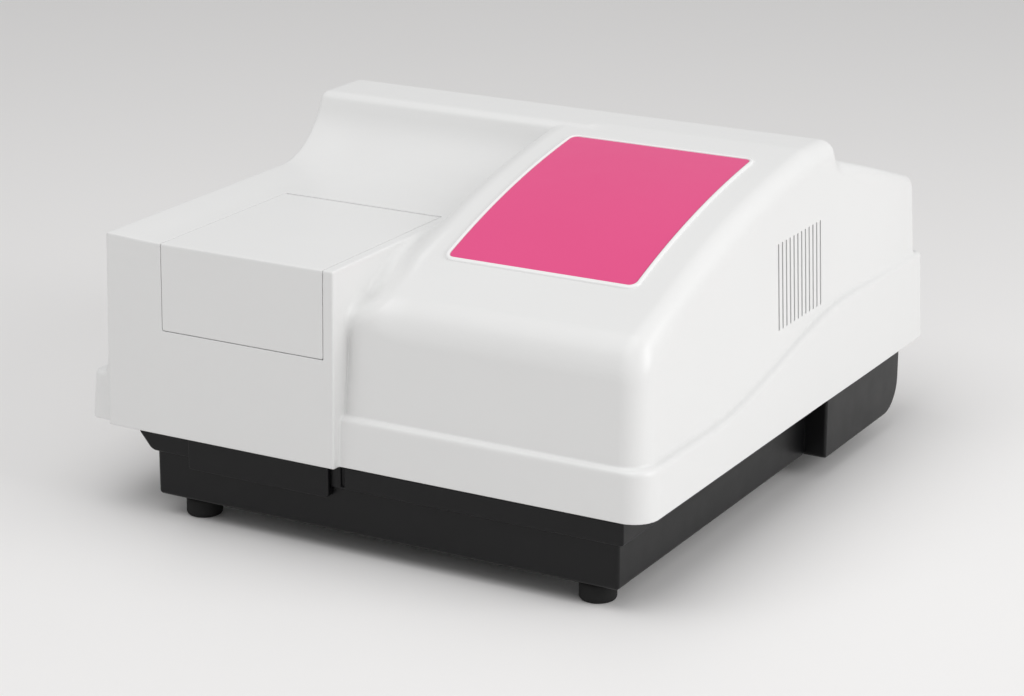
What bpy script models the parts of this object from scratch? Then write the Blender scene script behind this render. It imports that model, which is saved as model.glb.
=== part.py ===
"""Bench spectrophotometer: moulded casing, hinged sample lid, base tray and everything inside.

Frame: metres, +Z up, front towards -Y, origin under the middle of the skirt at the feet's soles.
Lengths below are millimetres and become metres in the mesh helpers.
"""

import math

import bmesh
import bpy
from mathutils import Matrix, Vector

MM = 0.001
GAP = 0.3               # clearance kept between touching pieces

# casing
WIDTH = 500.0           # across the bottom of the skirt
DEPTH = 540.0
SKIRT_Z = 73.2          # bottom edge of the casing
WALL = 3.0              # moulded wall thickness
RIDGE_Z = 283.3
COMPARTMENT_X = (-224.5, -13.0)
COMPARTMENT_Z = 230.0
CONSOLE_X = (-15.0, 236.0)
CREASE_FRONT = 113.0    # height of the skirt's crease at the front
CREASE_REAR = 151.5
SKIRT_DRAFT = 0.06      # lean of the skirt's sides

# lid over the sample compartment
LID_X = (-172.0, -23.0)
LID_FOOT_Z = 159.5      # lower edge of the lid's front drop
HINGE_Y = -94.0
BARREL_R = 3.5
HINGE_Z = COMPARTMENT_Z - BARREL_R
PIN_R = 1.5
SEAM = 0.8

# ventilation slots in the right wall
VENT_COUNT = 12
VENT_PITCH = 7.4
VENT_Y = -15.5
VENT_Z = (154.5, 225.4)
VENT_WIDTH = 2.4

# base tray
BASE_X = (-186.5, 226.0)
BASE_FRONT = -259.6
BLOCK_X = (-205.5, 245.0)
BLOCK_Y = (78.2, 235.0)
FOOT_Z = 17.7           # underside of the tray, on top of the feet
FOOT_R = 14.5
FOOT_INSET = 27.8
TRAY_TOP = 78.0
RIM_Z = (55.0, 72.9)

# sample side
CUP_X, CUP_Y = -97.5, -185.0
WELL_FLOOR = 150.0
WELL_X = (-166.5, -28.5)
WELL_Y = (-258.0, -112.0)
WINDOW_X = CUP_X + 40.0
CUP_R = 57.0

# optics
BEAM_Z = 124.0
BENCH_Z = (84.0, 90.0)
HOUSING_X = (8.0, 184.0)
HOUSING_Y = (-208.0, 5.0)
HOUSING_Z = (BENCH_Z[1] + GAP, 160.0)
LAMP_X = 150.0
GRATING_X, GRATING_Y = 78.0, -60.0
GEAR_MODULE = 1.5
SECTOR_TEETH = 60
PINION_TEETH = 12
PINION_X = GRATING_X - GEAR_MODULE * (SECTOR_TEETH + PINION_TEETH) / 2
SHAFT_HOLE_R = 6.0       # clearance for the pinion's shaft
WHEEL_X = LAMP_X + 20.0

# rear panel
REAR_X = (-128.0, 198.0)
REAR_Z = (80.0, 190.0)
REAR_Y = (252.5, 254.5)
FAN_X, FAN_Z, FAN_SIDE, FAN_DEPTH = 140.0, 134.0, 60.0, 25.0
SWITCH_X, INLET_X, PORT_Z = -98.0, -60.0, 128.0
ROCKER_TILT = math.radians(8.0)


# ---------------------------------------------------------------- scene and materials

def clear_scene():
    for obj in list(bpy.data.objects):
        bpy.data.objects.remove(obj, do_unlink=True)


def new_collection(name):
    collection = bpy.data.collections.new(name)
    bpy.context.scene.collection.children.link(collection)
    return collection


clear_scene()
PARTS = new_collection("spectrophotometer")
CUTTERS = new_collection("cutters")


def material(name, colour, roughness, metallic=0.0):
    mat = bpy.data.materials.new(name)
    mat.use_nodes = True
    shader = mat.node_tree.nodes["Principled BSDF"]
    shader.inputs["Base Color"].default_value = (*colour, 1.0)
    shader.inputs["Roughness"].default_value = roughness
    shader.inputs["Metallic"].default_value = metallic
    return mat


# ---------------------------------------------------------------- mesh helpers

def add_object(name, mesh, mat=None):
    """Link a mesh as a part, or as a cutter when it has no material."""
    obj = bpy.data.objects.new(name, mesh)
    if mat is None:
        CUTTERS.objects.link(obj)
        obj.hide_render = True
        obj.display_type = "WIRE"
    else:
        PARTS.objects.link(obj)
        mesh.materials.append(mat)
    return obj


def finish_bmesh(bm, name):
    mesh = bpy.data.meshes.new(name)
    bmesh.ops.recalc_face_normals(bm, faces=bm.faces)
    bm.to_mesh(mesh)
    bm.free()
    return mesh


def box(name, x, y, z, mat=None):
    """A box between the (low, high) pairs x, y and z."""
    bm = bmesh.new()
    bmesh.ops.create_cube(bm, size=1.0)
    for vert in bm.verts:
        vert.co = Vector([low + (high - low) * (c + 0.5)
                          for c, (low, high) in zip(vert.co, (x, y, z))]) * MM
    return add_object(name, finish_bmesh(bm, name), mat)


AXIS_TURN = {
    "x": Matrix.Rotation(math.radians(90), 4, "Y"),
    "y": Matrix.Rotation(math.radians(-90), 4, "X"),
    "z": Matrix.Identity(4),
}


def cylinder(name, centre, radius, length, axis="z", mat=None, segments=24):
    """A cylinder whose middle is at centre."""
    bm = bmesh.new()
    bmesh.ops.create_cone(bm, cap_ends=True, segments=segments, radius1=radius * MM,
                          radius2=radius * MM, depth=length * MM)
    move = Matrix.Translation(Vector(centre) * MM) @ AXIS_TURN[axis]
    bmesh.ops.transform(bm, matrix=move, verts=bm.verts)
    obj = add_object(name, finish_bmesh(bm, name), mat)
    smooth(obj)
    return obj


def smooth(obj, angle=35.0):
    obj.data.shade_smooth()
    obj.data.set_sharp_from_angle(angle=math.radians(angle))


# outline planes: the outline's two coordinates and the direction it is extruded along
PLANES = {
    "x": Matrix(((0, 0, 1, 0), (1, 0, 0, 0), (0, 1, 0, 0), (0, 0, 0, 1))),
    "y": Matrix(((1, 0, 0, 0), (0, 0, -1, 0), (0, 1, 0, 0), (0, 0, 0, 1))),
    "z": Matrix.Identity(4),
}


def outline(name, loops, low, high, axis="x", mat=None, shape=None):
    """Extrude closed loops of 2-D points between low and high along an axis.

    Axis x reads the points as (y, z), axis y as (x, z) and axis z as (x, y). Later loops are
    holes. shape(x, y, z) may return a moved point, for draft.
    """
    curve = bpy.data.curves.new(name, "CURVE")
    curve.dimensions = "2D"
    curve.fill_mode = "BOTH"
    curve.extrude = (high - low) / 2 * MM
    for loop in loops:
        spline = curve.splines.new("POLY")
        spline.points.add(len(loop) - 1)
        for point, (u, v) in zip(spline.points, loop):
            point.co = (u * MM, v * MM, 0.0, 1.0)
        spline.use_cyclic_u = True
    guide = bpy.data.objects.new(name + "_curve", curve)
    CUTTERS.objects.link(guide)
    bpy.context.view_layer.update()
    graph = bpy.context.evaluated_depsgraph_get()
    mesh = bpy.data.meshes.new_from_object(guide.evaluated_get(graph))
    bpy.data.objects.remove(guide, do_unlink=True)
    bm = bmesh.new()
    bm.from_mesh(mesh)
    bmesh.ops.remove_doubles(bm, verts=bm.verts, dist=0.01 * MM)
    middle = (low + high) / 2 * MM
    slide = Matrix.Translation((0.0, 0.0, -middle if axis == "y" else middle))
    bmesh.ops.transform(bm, matrix=PLANES[axis] @ slide, verts=bm.verts)
    if shape is not None:
        for vert in bm.verts:
            vert.co = Vector(shape(*(vert.co / MM))) * MM
    mesh = finish_bmesh(bm, name)
    return add_object(name, mesh, mat)


def arc(centre, radius, start, end, steps):
    """Points on an arc, angles in degrees."""
    angles = [math.radians(start + (end - start) * k / steps) for k in range(steps + 1)]
    return [(centre[0] + radius * math.cos(a), centre[1] + radius * math.sin(a)) for a in angles]


def rounded(corners, steps=4):
    """Turn (u, v, radius) corners into an outline whose corners are arcs."""
    points = []
    count = len(corners)
    for index, (u, v, radius) in enumerate(corners):
        here = Vector((u, v))
        if radius <= 0:
            points.append((u, v))
            continue
        back = (Vector(corners[index - 1][:2]) - here).normalized()
        ahead = (Vector(corners[(index + 1) % count][:2]) - here).normalized()
        half = back.angle(ahead) / 2
        reach = radius / math.tan(half)
        centre = here + (back + ahead).normalized() * (radius / math.sin(half))
        first = here + back * reach - centre
        last = here + ahead * reach - centre
        sweep = first.angle_signed(last)
        for step in range(steps + 1):
            spoke = Matrix.Rotation(-sweep * step / steps, 2) @ first
            points.append(tuple(centre + spoke))
    return points


def rectangle(centre, width, height, radius=0.0, steps=3):
    u, v = centre
    half_w, half_h = width / 2, height / 2
    corners = [(u - half_w, v - half_h, radius), (u + half_w, v - half_h, radius),
               (u + half_w, v + half_h, radius), (u - half_w, v + half_h, radius)]
    return rounded(corners, steps)


def circle(centre, radius, steps=24):
    return arc(centre, radius, 0.0, 360.0 * (steps - 1) / steps, steps - 1)


def inset(corners, distance):
    """Move counter-clockwise (u, v, radius) corners inwards, with their radii to match."""
    moved = []
    count = len(corners)
    for index, (u, v, radius) in enumerate(corners):
        here = Vector((u, v))
        before = (here - Vector(corners[index - 1][:2])).normalized()
        after = (Vector(corners[(index + 1) % count][:2]) - here).normalized()
        normal_before = Vector((-before.y, before.x))
        normal_after = Vector((-after.y, after.x))
        mitre = (normal_before + normal_after).normalized()
        place = here + mitre * (distance / max(mitre.dot(normal_after), 0.3))
        convex = before.x * after.y - before.y * after.x > 0
        grown = radius + distance if radius else 0
        moved.append((*place, max(radius - distance, 0) if convex else grown))
    return moved


def boolean(obj, tool, operation="DIFFERENCE"):
    """Cut or join with another object, which becomes a hidden cutter."""
    if PARTS.objects.get(tool.name) is not None:
        PARTS.objects.unlink(tool)
        CUTTERS.objects.link(tool)
    tool.hide_render = True
    tool.display_type = "WIRE"
    modifier = obj.modifiers.new(tool.name, "BOOLEAN")
    modifier.operation = operation
    modifier.solver = "EXACT"
    modifier.object = tool
    return obj


def join(obj, *tools):
    for tool in tools:
        boolean(obj, tool, "UNION")
    return obj


def cut(obj, *tools):
    for tool in tools:
        boolean(obj, tool, "DIFFERENCE")
    return obj


def merged_cutter(name, tools):
    """Join cutters that do not touch into one object."""
    bm = bmesh.new()
    for tool in tools:
        bm.from_mesh(tool.data)
        bpy.data.objects.remove(tool, do_unlink=True)
    return add_object(name, finish_bmesh(bm, name))


def round_edges(obj, chosen, radius, segments=3):
    """Bevel the edges that chosen(a, b) picks, with a and b in millimetres."""
    bm = bmesh.new()
    bm.from_mesh(obj.data)
    bmesh.ops.dissolve_limit(bm, angle_limit=math.radians(0.5), verts=bm.verts, edges=bm.edges)
    edges = [edge for edge in bm.edges if edge.calc_face_angle(0.0) > math.radians(30)
             and chosen(edge.verts[0].co / MM, edge.verts[1].co / MM)]
    bmesh.ops.bevel(bm, geom=edges, offset=radius * MM, segments=segments, profile=0.5,
                    affect="EDGES", clamp_overlap=True)
    bmesh.ops.triangulate(bm, faces=bm.faces)
    bm.to_mesh(obj.data)
    bm.free()
    return obj


def bevel(obj, width, segments=2, angle=40.0):
    modifier = obj.modifiers.new("rounded_edges", "BEVEL")
    modifier.width = width * MM
    modifier.segments = segments
    modifier.limit_method = "ANGLE"
    modifier.angle_limit = math.radians(angle)
    return obj


def lathe(name, profile, centre, mat=None, axis="z", steps=32):
    """Turn a closed (radius, height) profile, listed down its outer side first."""
    bm = bmesh.new()
    verts = [bm.verts.new((r * MM, 0.0, h * MM)) for r, h in profile]
    closed = min(r for r, h in profile) > 0
    pairs = list(zip(verts, verts[1:] + verts[:1])) if closed else list(zip(verts, verts[1:]))
    for pair in pairs:
        bm.edges.new(pair)
    mesh = bpy.data.meshes.new(name)
    bm.to_mesh(mesh)
    bm.free()
    obj = add_object(name, mesh, mat)
    screw = obj.modifiers.new("turn", "SCREW")
    screw.axis = "Z"
    screw.steps = steps
    screw.render_steps = steps
    screw.use_merge_vertices = True
    screw.merge_threshold = 0.00001
    obj.matrix_world = Matrix.Translation(Vector(centre) * MM) @ AXIS_TURN[axis]
    return obj


def set_origin(obj, point):
    """Put the object's origin on its joint's axis without moving its mesh in the world."""
    where = Vector(point) * MM
    obj.data.transform(Matrix.Translation(-where))
    obj.location = where


def bezier(points, steps):
    curve = []
    for k in range(steps + 1):
        t = k / steps
        weights = ((1 - t) ** 3, 3 * (1 - t) ** 2 * t, 3 * (1 - t) * t * t, t ** 3)
        curve.append(tuple(sum(w * p[i] for w, p in zip(weights, points)) for i in (0, 1)))
    return curve


# ---------------------------------------------------------------- materials

WHITE = material("casing_white", (0.80, 0.80, 0.79), 0.38)
BEZEL_WHITE = material("bezel_white", (0.86, 0.86, 0.85), 0.3)
PINK = material("overlay_pink", (0.75, 0.09, 0.26), 0.35)
BLACK = material("base_black", (0.02, 0.02, 0.022), 0.42)
WELL_BLACK = material("well_black", (0.015, 0.015, 0.016), 0.6)
RUBBER = material("foot_rubber", (0.012, 0.012, 0.012), 0.85)
STEEL = material("steel", (0.55, 0.56, 0.57), 0.3, 1.0)
PANEL_GREY = material("panel_grey", (0.42, 0.43, 0.44), 0.5)
ALUMINIUM = material("aluminium", (0.75, 0.76, 0.77), 0.35, 1.0)
BLACK_PLASTIC = material("black_plastic", (0.03, 0.03, 0.03), 0.45)
MIRROR = material("mirror", (0.9, 0.9, 0.92), 0.05, 1.0)
GLASS = material("glass", (0.85, 0.9, 0.9), 0.05)
BOARD_GREEN = material("board_green", (0.02, 0.16, 0.07), 0.45)


# ---------------------------------------------------------------- top casing

SLOPE = bezier(((-249.0, 199.0), (-155.0, 243.0), (-60.0, 271.0), (60.0, RIDGE_Z)), 8)
CUT_BELOW = 40.0        # casing solids start here and are trimmed at the skirt's edge


def slope_z(y):
    """Height of the console's slope at y."""
    for (y0, z0), (y1, z1) in zip(SLOPE, SLOPE[1:]):
        if y0 <= y <= y1:
            return z0 + (z1 - z0) * (y - y0) / (y1 - y0)
    raise ValueError("y is off the slope")


def rear_corners():
    """Back wall, rear deck and the ridge's rear edge, going up from the bottom."""
    return [(266.0, CUT_BELOW, 0), (256.5, 219.0, 14), (110.0, 265.0, 10),
            (102.0, RIDGE_Z, 7)]


def console_outline():
    slope = [(y, z, 0) for y, z in reversed(SLOPE[1:])]
    return [(-262.0, CUT_BELOW, 0)] + rear_corners() + slope + [(*SLOPE[0], 20)]


def compartment_outline():
    sweep = [(41.0, RIDGE_Z, 8), (34.5, COMPARTMENT_Z, 48)]
    front = [(-267.4, COMPARTMENT_Z, 1.5)]
    return [(-271.3, CUT_BELOW, 0)] + rear_corners() + sweep + front


def crease_z(y):
    """The skirt's crease climbs in an S from front to rear."""
    ease = min(max((y + 150.0) / 270.0, 0.0), 1.0)
    return CREASE_FRONT + (CREASE_REAR - CREASE_FRONT) * ease * ease * (3 - 2 * ease)


def skirt_outline():
    steps = 12
    rise = [(150.0 - 300.0 * k / steps, crease_z(150.0 - 300.0 * k / steps), 0)
            for k in range(steps + 1)]
    return ([(-DEPTH / 2 + 6, CUT_BELOW, 0), (DEPTH / 2 + 2.5, CUT_BELOW, 0),
             (DEPTH / 2 - 4, CREASE_REAR, 0)] + rise + [(-262.0, CREASE_FRONT, 0)])


def flare_outline():
    """The left wall below the compartment leans out to the crease, seen from the front."""
    return [(-237.0, CUT_BELOW, 0), (-100.0, CUT_BELOW, 0), (-100.0, 180.0, 0),
            (-223.8, 180.0, 0), (-226.0, 160.0, 0), (-231.0, 138.0, 0), (-236.0, 113.0, 0)]


def console_draft(x, y, z):
    return (x if x < 0 else x + 5.5 - 0.045 * (z - CREASE_FRONT), y, z)


def compartment_draft(x, y, z):
    return (x if x > -100 else x + 0.0185 * (z - COMPARTMENT_Z) + 0.8, y, z)


def skirt_draft(x, y, z):
    return (x - math.copysign(SKIRT_DRAFT, x) * (z - SKIRT_Z), y, z)


def casing_volumes(label, wall):
    """The four solids whose union is the casing, moved in by wall."""
    def pick(corners):
        return rounded(inset(corners, wall))

    console = outline(label + "_console", [pick(console_outline())],
                      CONSOLE_X[0] + wall, CONSOLE_X[1] - wall, "x", shape=console_draft)
    round_edges(console, lambda a, b: min(a.x, b.x) > 200 and max(a.z, b.z) > 60, 12 - wall)
    compartment = outline(label + "_compartment", [pick(compartment_outline())],
                          COMPARTMENT_X[0] + wall, COMPARTMENT_X[1] - wall, "x",
                          shape=compartment_draft)
    skirt = outline(label + "_skirt", [pick(skirt_outline())], -WIDTH / 2 + wall,
                    WIDTH / 2 - wall, "x", shape=skirt_draft)
    round_edges(skirt, lambda a, b: abs(a.z - b.z) > 40 and abs(a.y) > 200, 20 - wall)
    flare = outline(label + "_flare", [pick(flare_outline())], -258.0 + wall, 250.0 - wall, "y")
    return [console, compartment, skirt, flare]


def vent_cutter():
    half = VENT_WIDTH / 2
    slots = []
    for k in range(VENT_COUNT):
        y = VENT_Y + VENT_PITCH * k
        slots.append(box(f"vent_{k}", (220.0, 260.0), (y - half, y + half), VENT_Z))
    return merged_cutter("vent_slots", slots)


def top_casing():
    outer = casing_volumes("outer", 0.0)
    cavity = casing_volumes("cavity", WALL)
    casing = outer[0]
    CUTTERS.objects.unlink(casing)
    PARTS.objects.link(casing)
    casing.name = "top_casing"
    casing.hide_render = False
    casing.display_type = "TEXTURED"
    casing.data.materials.append(WHITE)
    join(casing, *outer[1:])
    link = box("cavity_link", (-40.0, 10.0), (-150.0, 254.8), (60.0, 205.0))
    trim = box("skirt_trim", (-300.0, 300.0), (-300.0, 300.0), (0.0, SKIRT_Z))
    opening = box("lid_opening", LID_X, (-300.0, HINGE_Y + BARREL_R + SEAM),
                  (LID_FOOT_Z - SEAM / 2, 250.0))
    rear = box("rear_opening", (REAR_X[0] + 8, REAR_X[1] - 8), (240.0, 300.0),
               (REAR_Z[0] + 8, REAR_Z[1] - 8))
    cut(casing, *cavity, link, trim, opening, vent_cutter(), rear)
    for side, (x0, x1) in (("left", (-182.0, LID_X[0] - 1)), ("right", (LID_X[1] + 1, -12.5))):
        boss = box(f"hinge_boss_{side}", (x0, x1), (-100.0, -88.0), (219.0, 228.5))
        join(casing, boss)
        bore = cylinder(f"boss_bore_{side}", ((x0 + x1) / 2, HINGE_Y, HINGE_Z),
                        PIN_R + 0.1, x1 - x0 + 3, "x", segments=16)
        cut(casing, bore)
    smooth(casing)


# ---------------------------------------------------------------- lid

def lid_outline():
    """Front drop, top panel and the rolled rear edge round the hinge axis, as (y, z)."""
    top, inner = COMPARTMENT_Z, COMPARTMENT_Z - WALL
    foot = LID_FOOT_Z + SEAM / 2
    barrel = arc((HINGE_Y, HINGE_Z), BARREL_R, -120, 90, 8)
    front = rounded([(-269.1, foot, 0), (-266.2, foot, 0), (-264.4, inner, 1),
                     (HINGE_Y - 6, inner, 0)], 2)
    crown = arc((-265.9, top - 1.5), 1.5, 90, 178, 3)
    return front + barrel + crown


def lid_parts():
    x0, x1 = LID_X[0] + SEAM, LID_X[1] - SEAM
    lid = outline("lid", [lid_outline()], x0, x1, "x", WHITE)
    pin_length = 21.0
    for side, edge, into in (("left", x0, 1), ("right", x1, -1)):
        bore = cylinder(f"lid_bore_{side}", (edge + into * 5.0, HINGE_Y, HINGE_Z),
                        PIN_R + 0.1, 13.0, "x", segments=16)
        cut(lid, bore)
        pin_x = edge + into * 0.5
        cylinder(f"lid_pin_{side}", (pin_x, HINGE_Y, HINGE_Z), PIN_R, pin_length - 1, "x",
                 STEEL, segments=16)
    set_origin(lid, (0.0, HINGE_Y, HINGE_Z))
    baffle = outline("lid_baffle", [rectangle(((x0 + x1) / 2, -183.0), 126.0, 130.0, 6.0)],
                     COMPARTMENT_Z - WALL - GAP - 1.2, COMPARTMENT_Z - WALL - GAP, "z",
                     WELL_BLACK)
    set_origin(baffle, (0.0, HINGE_Y, HINGE_Z))


# ---------------------------------------------------------------- operating panel

def slope_strip(name, y0, y1, low, high, x, mat):
    """A curved strip lying low to high above the slope."""
    stations = [y0] + [y for y, z in SLOPE if y0 < y < y1] + [y1]
    lower = [(y, slope_z(y) + low) for y in stations]
    upper = [(y, slope_z(y) + high) for y in reversed(stations)]
    return outline(name, [lower + upper], x[0], x[1], "x", mat)


def operating_panel():
    centre = (116.0, -80.0)
    width, length, border = 159.6, 203.5, 4.0
    bezel = slope_strip("panel_bezel", centre[1] - length / 2 - border,
                        centre[1] + length / 2 + border, GAP, 1.7,
                        (centre[0] - width / 2 - border, centre[0] + width / 2 + border),
                        BEZEL_WHITE)
    cut(bezel, outline("bezel_window", [rectangle(centre, width, length, 5.0)], 150, 320, "z"))
    overlay = slope_strip("panel_overlay", centre[1] - length / 2 + 0.5,
                          centre[1] + length / 2 - 0.5, GAP, 1.1,
                          (centre[0] - width / 2 + 0.5, centre[0] + width / 2 - 0.5), PINK)
    trim = outline("overlay_trim", [rectangle(centre, width - 1, length - 1, 5.0)],
                   150, 320, "z")
    modifier = overlay.modifiers.new("corners", "BOOLEAN")
    modifier.operation = "INTERSECT"
    modifier.solver = "EXACT"
    modifier.object = trim


# ---------------------------------------------------------------- base

def block_outline():
    return rounded([(BLOCK_Y[0], FOOT_Z, 0), (BLOCK_Y[1], FOOT_Z, 28), (BLOCK_Y[1], TRAY_TOP, 0),
                    (BLOCK_Y[0], TRAY_TOP, 0)], 5)


def base_tray():
    floor = FOOT_Z + WALL
    tray = box("base_tray", BASE_X, (BASE_FRONT, BLOCK_Y[0] + 2), (FOOT_Z, TRAY_TOP - 1), BLACK)
    rim = outline("rim", [[(-192.0, RIM_Z[0]), (229.0, RIM_Z[0]), (231.0, 58.0),
                           (231.0, RIM_Z[1]), (-203.0, RIM_Z[1]), (-203.0, 68.0)]],
                  -262.4, BLOCK_Y[0] + 1, "y")
    block = outline("rear_block", [block_outline()], *BLOCK_X, "x")
    flange = outline("flange", [rectangle((0.0, 2.0), 492.0, 520.0, 20.0)],
                     TRAY_TOP - 4, TRAY_TOP + 0.1, "z")
    join(tray, rim, block, flange)
    hollow = box("tray_hollow", (BASE_X[0] + WALL, BASE_X[1] - WALL),
                 (BASE_FRONT + WALL, BLOCK_Y[0] + 6), (floor, TRAY_TOP + 10))
    inner = rounded([(BLOCK_Y[0] + WALL, floor, 0), (BLOCK_Y[1] - WALL, floor, 25),
                     (BLOCK_Y[1] - WALL, TRAY_TOP + 10, 0),
                     (BLOCK_Y[0] + WALL, TRAY_TOP + 10, 0)], 5)
    rear_hollow = outline("block_hollow", [inner], BLOCK_X[0] + WALL, BLOCK_X[1] - WALL, "x")
    cut(tray, hollow, rear_hollow)
    plate = outline("base_front_plate", [[(-266.0, 47.0), (-259.9, 47.0), (-259.9, 54.7),
                                          (-262.7, 54.7), (-262.7, 72.6), (-266.0, 72.6)]],
                    -153.0, -22.0, "x", BLACK)
    bevel(plate, 0.6, 1)


def feet():
    soles = {"front_left": (BASE_X[0] + FOOT_INSET, -237.7),
             "front_right": (BASE_X[1] - FOOT_INSET, -237.7),
             "rear_left": (BASE_X[0] + FOOT_INSET, 190.0),
             "rear_right": (BASE_X[1] - FOOT_INSET, 190.0)}
    top = FOOT_Z - GAP
    for place, (x, y) in soles.items():
        profile = [(FOOT_R - 2, top), (FOOT_R - 0.5, top - 2), (FOOT_R, 3.0), (FOOT_R - 2, 0.0),
                   (5.0, 0.0), (5.0, 6.0), (3.0, 6.0), (3.0, top)]
        lathe(f"foot_{place}", profile, (x, y, 0.0), RUBBER, steps=28)


# ---------------------------------------------------------------- rear panel

def rear_fittings():
    panel = [rectangle((sum(REAR_X) / 2, sum(REAR_Z) / 2), REAR_X[1] - REAR_X[0],
                       REAR_Z[1] - REAR_Z[0])]
    panel.append(circle((FAN_X, FAN_Z), 27.0, 28))
    panel.append(rectangle((INLET_X, PORT_Z), 28.0, 21.0))
    panel.append(circle((INLET_X + 34, PORT_Z), 6.4, 16))
    panel.append(rectangle((SWITCH_X, PORT_Z), 15.2, 24.2))
    panel.append(rectangle((18.0, PORT_Z), 12.8, 11.8))
    panel.append(rectangle((60.0, PORT_Z), 20.0, 11.2))
    outline("rear_panel", panel, *REAR_Y, "y", PANEL_GREY)
    front = REAR_Y[1] + GAP

    inlet = outline("power_inlet", [rectangle((INLET_X, PORT_Z), 34.0, 27.0, 3.0)],
                    front, front + 2.2, "y", BLACK_PLASTIC)
    body = box("inlet_body", (INLET_X - 13.7, INLET_X + 13.7), (232.0, front + 1),
               (PORT_Z - 10.2, PORT_Z + 10.2))
    socket = outline("inlet_socket", [rounded([(INLET_X - 12, PORT_Z - 8.3, 1),
                                               (INLET_X + 12, PORT_Z - 8.3, 1),
                                               (INLET_X + 12, PORT_Z + 3, 0),
                                               (INLET_X + 7, PORT_Z + 8.3, 0),
                                               (INLET_X - 7, PORT_Z + 8.3, 0),
                                               (INLET_X - 12, PORT_Z + 3, 0)], 1)],
                     240.0, 262.0, "y")
    cut(join(inlet, body), socket)
    for k, (dx, dz) in enumerate(((-7, -2.5), (0, 1.5), (7, -2.5))):
        join(inlet, box(f"inlet_pin_{k}", (INLET_X + dx - 1, INLET_X + dx + 1), (238.0, 252.0),
                        (PORT_Z + dz - 2, PORT_Z + dz + 2)))

    fuse_x = INLET_X + 34
    fuse = cylinder("fuse_holder", (fuse_x, front + 2.2, PORT_Z), 8.0, 4.4, "y", BLACK_PLASTIC)
    join(fuse, cylinder("fuse_body", (fuse_x, 247.0, PORT_Z), 6.0, 22.0, "y", segments=16))

    usb = box("usb_port", (18 - 6.1, 18 + 6.1), (243.0, 257.8), (PORT_Z - 5.6, PORT_Z + 5.6),
              STEEL)
    cut(usb, box("usb_mouth", (18 - 4.3, 18 + 4.3), (248.0, 260.0), (PORT_Z - 3.9, PORT_Z + 3.9)))
    join(usb, box("usb_tongue", (18 - 2.8, 18 + 2.8), (246.0, 256.0),
                  (PORT_Z - 1.6, PORT_Z + 1.6)))

    serial = outline("serial_port", [rectangle((60.0, PORT_Z), 31.0, 12.6, 2.0)],
                     front, front + 1.0, "y", STEEL)
    shell = outline("serial_shell", [rounded([(51.6, PORT_Z + 4.2, 1.5), (53.4, PORT_Z - 4.2, 1.5),
                                              (66.6, PORT_Z - 4.2, 1.5),
                                              (68.4, PORT_Z + 4.2, 1.5)], 2)],
                    front + 0.5, 262.0, "y")
    join(serial, shell, box("serial_body", (50.4, 69.6), (242.0, front + 0.5),
                            (PORT_Z - 5.2, PORT_Z + 5.2)))


def rear_switch():
    front = REAR_Y[1] + GAP
    frame = outline("switch_frame", [rectangle((SWITCH_X, PORT_Z), 18.0, 28.0, 1.5)],
                    front, front + 1.6, "y", BLACK_PLASTIC)
    join(frame, box("switch_body", (SWITCH_X - 7.3, SWITCH_X + 7.3), (236.0, front + 1),
                    (PORT_Z - 11.8, PORT_Z + 11.8)))
    cut(frame, box("switch_well", (SWITCH_X - 5.9, SWITCH_X + 5.9), (246.0, 262.0),
                   (PORT_Z - 10.3, PORT_Z + 10.3)))
    axis_y, half = 253.0, 9.1
    shape = [(axis_y + 6.6, half), (axis_y + 5.0, 0.0), (axis_y + 6.6, -half),
             (axis_y - 0.5, -half + 0.6), (axis_y - 4.5, -2.0), (axis_y - 4.5, 2.0),
             (axis_y - 0.5, half - 0.6)]
    turned = []
    for y, z in shape:
        dy = y - axis_y
        turned.append((axis_y + dy * math.cos(ROCKER_TILT) + z * math.sin(ROCKER_TILT),
                       PORT_Z - dy * math.sin(ROCKER_TILT) + z * math.cos(ROCKER_TILT)))
    rocker = outline("switch_rocker", [turned], SWITCH_X - 5.6, SWITCH_X + 5.6, "x",
                     BLACK_PLASTIC)
    set_origin(rocker, (SWITCH_X, axis_y, PORT_Z))


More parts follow.
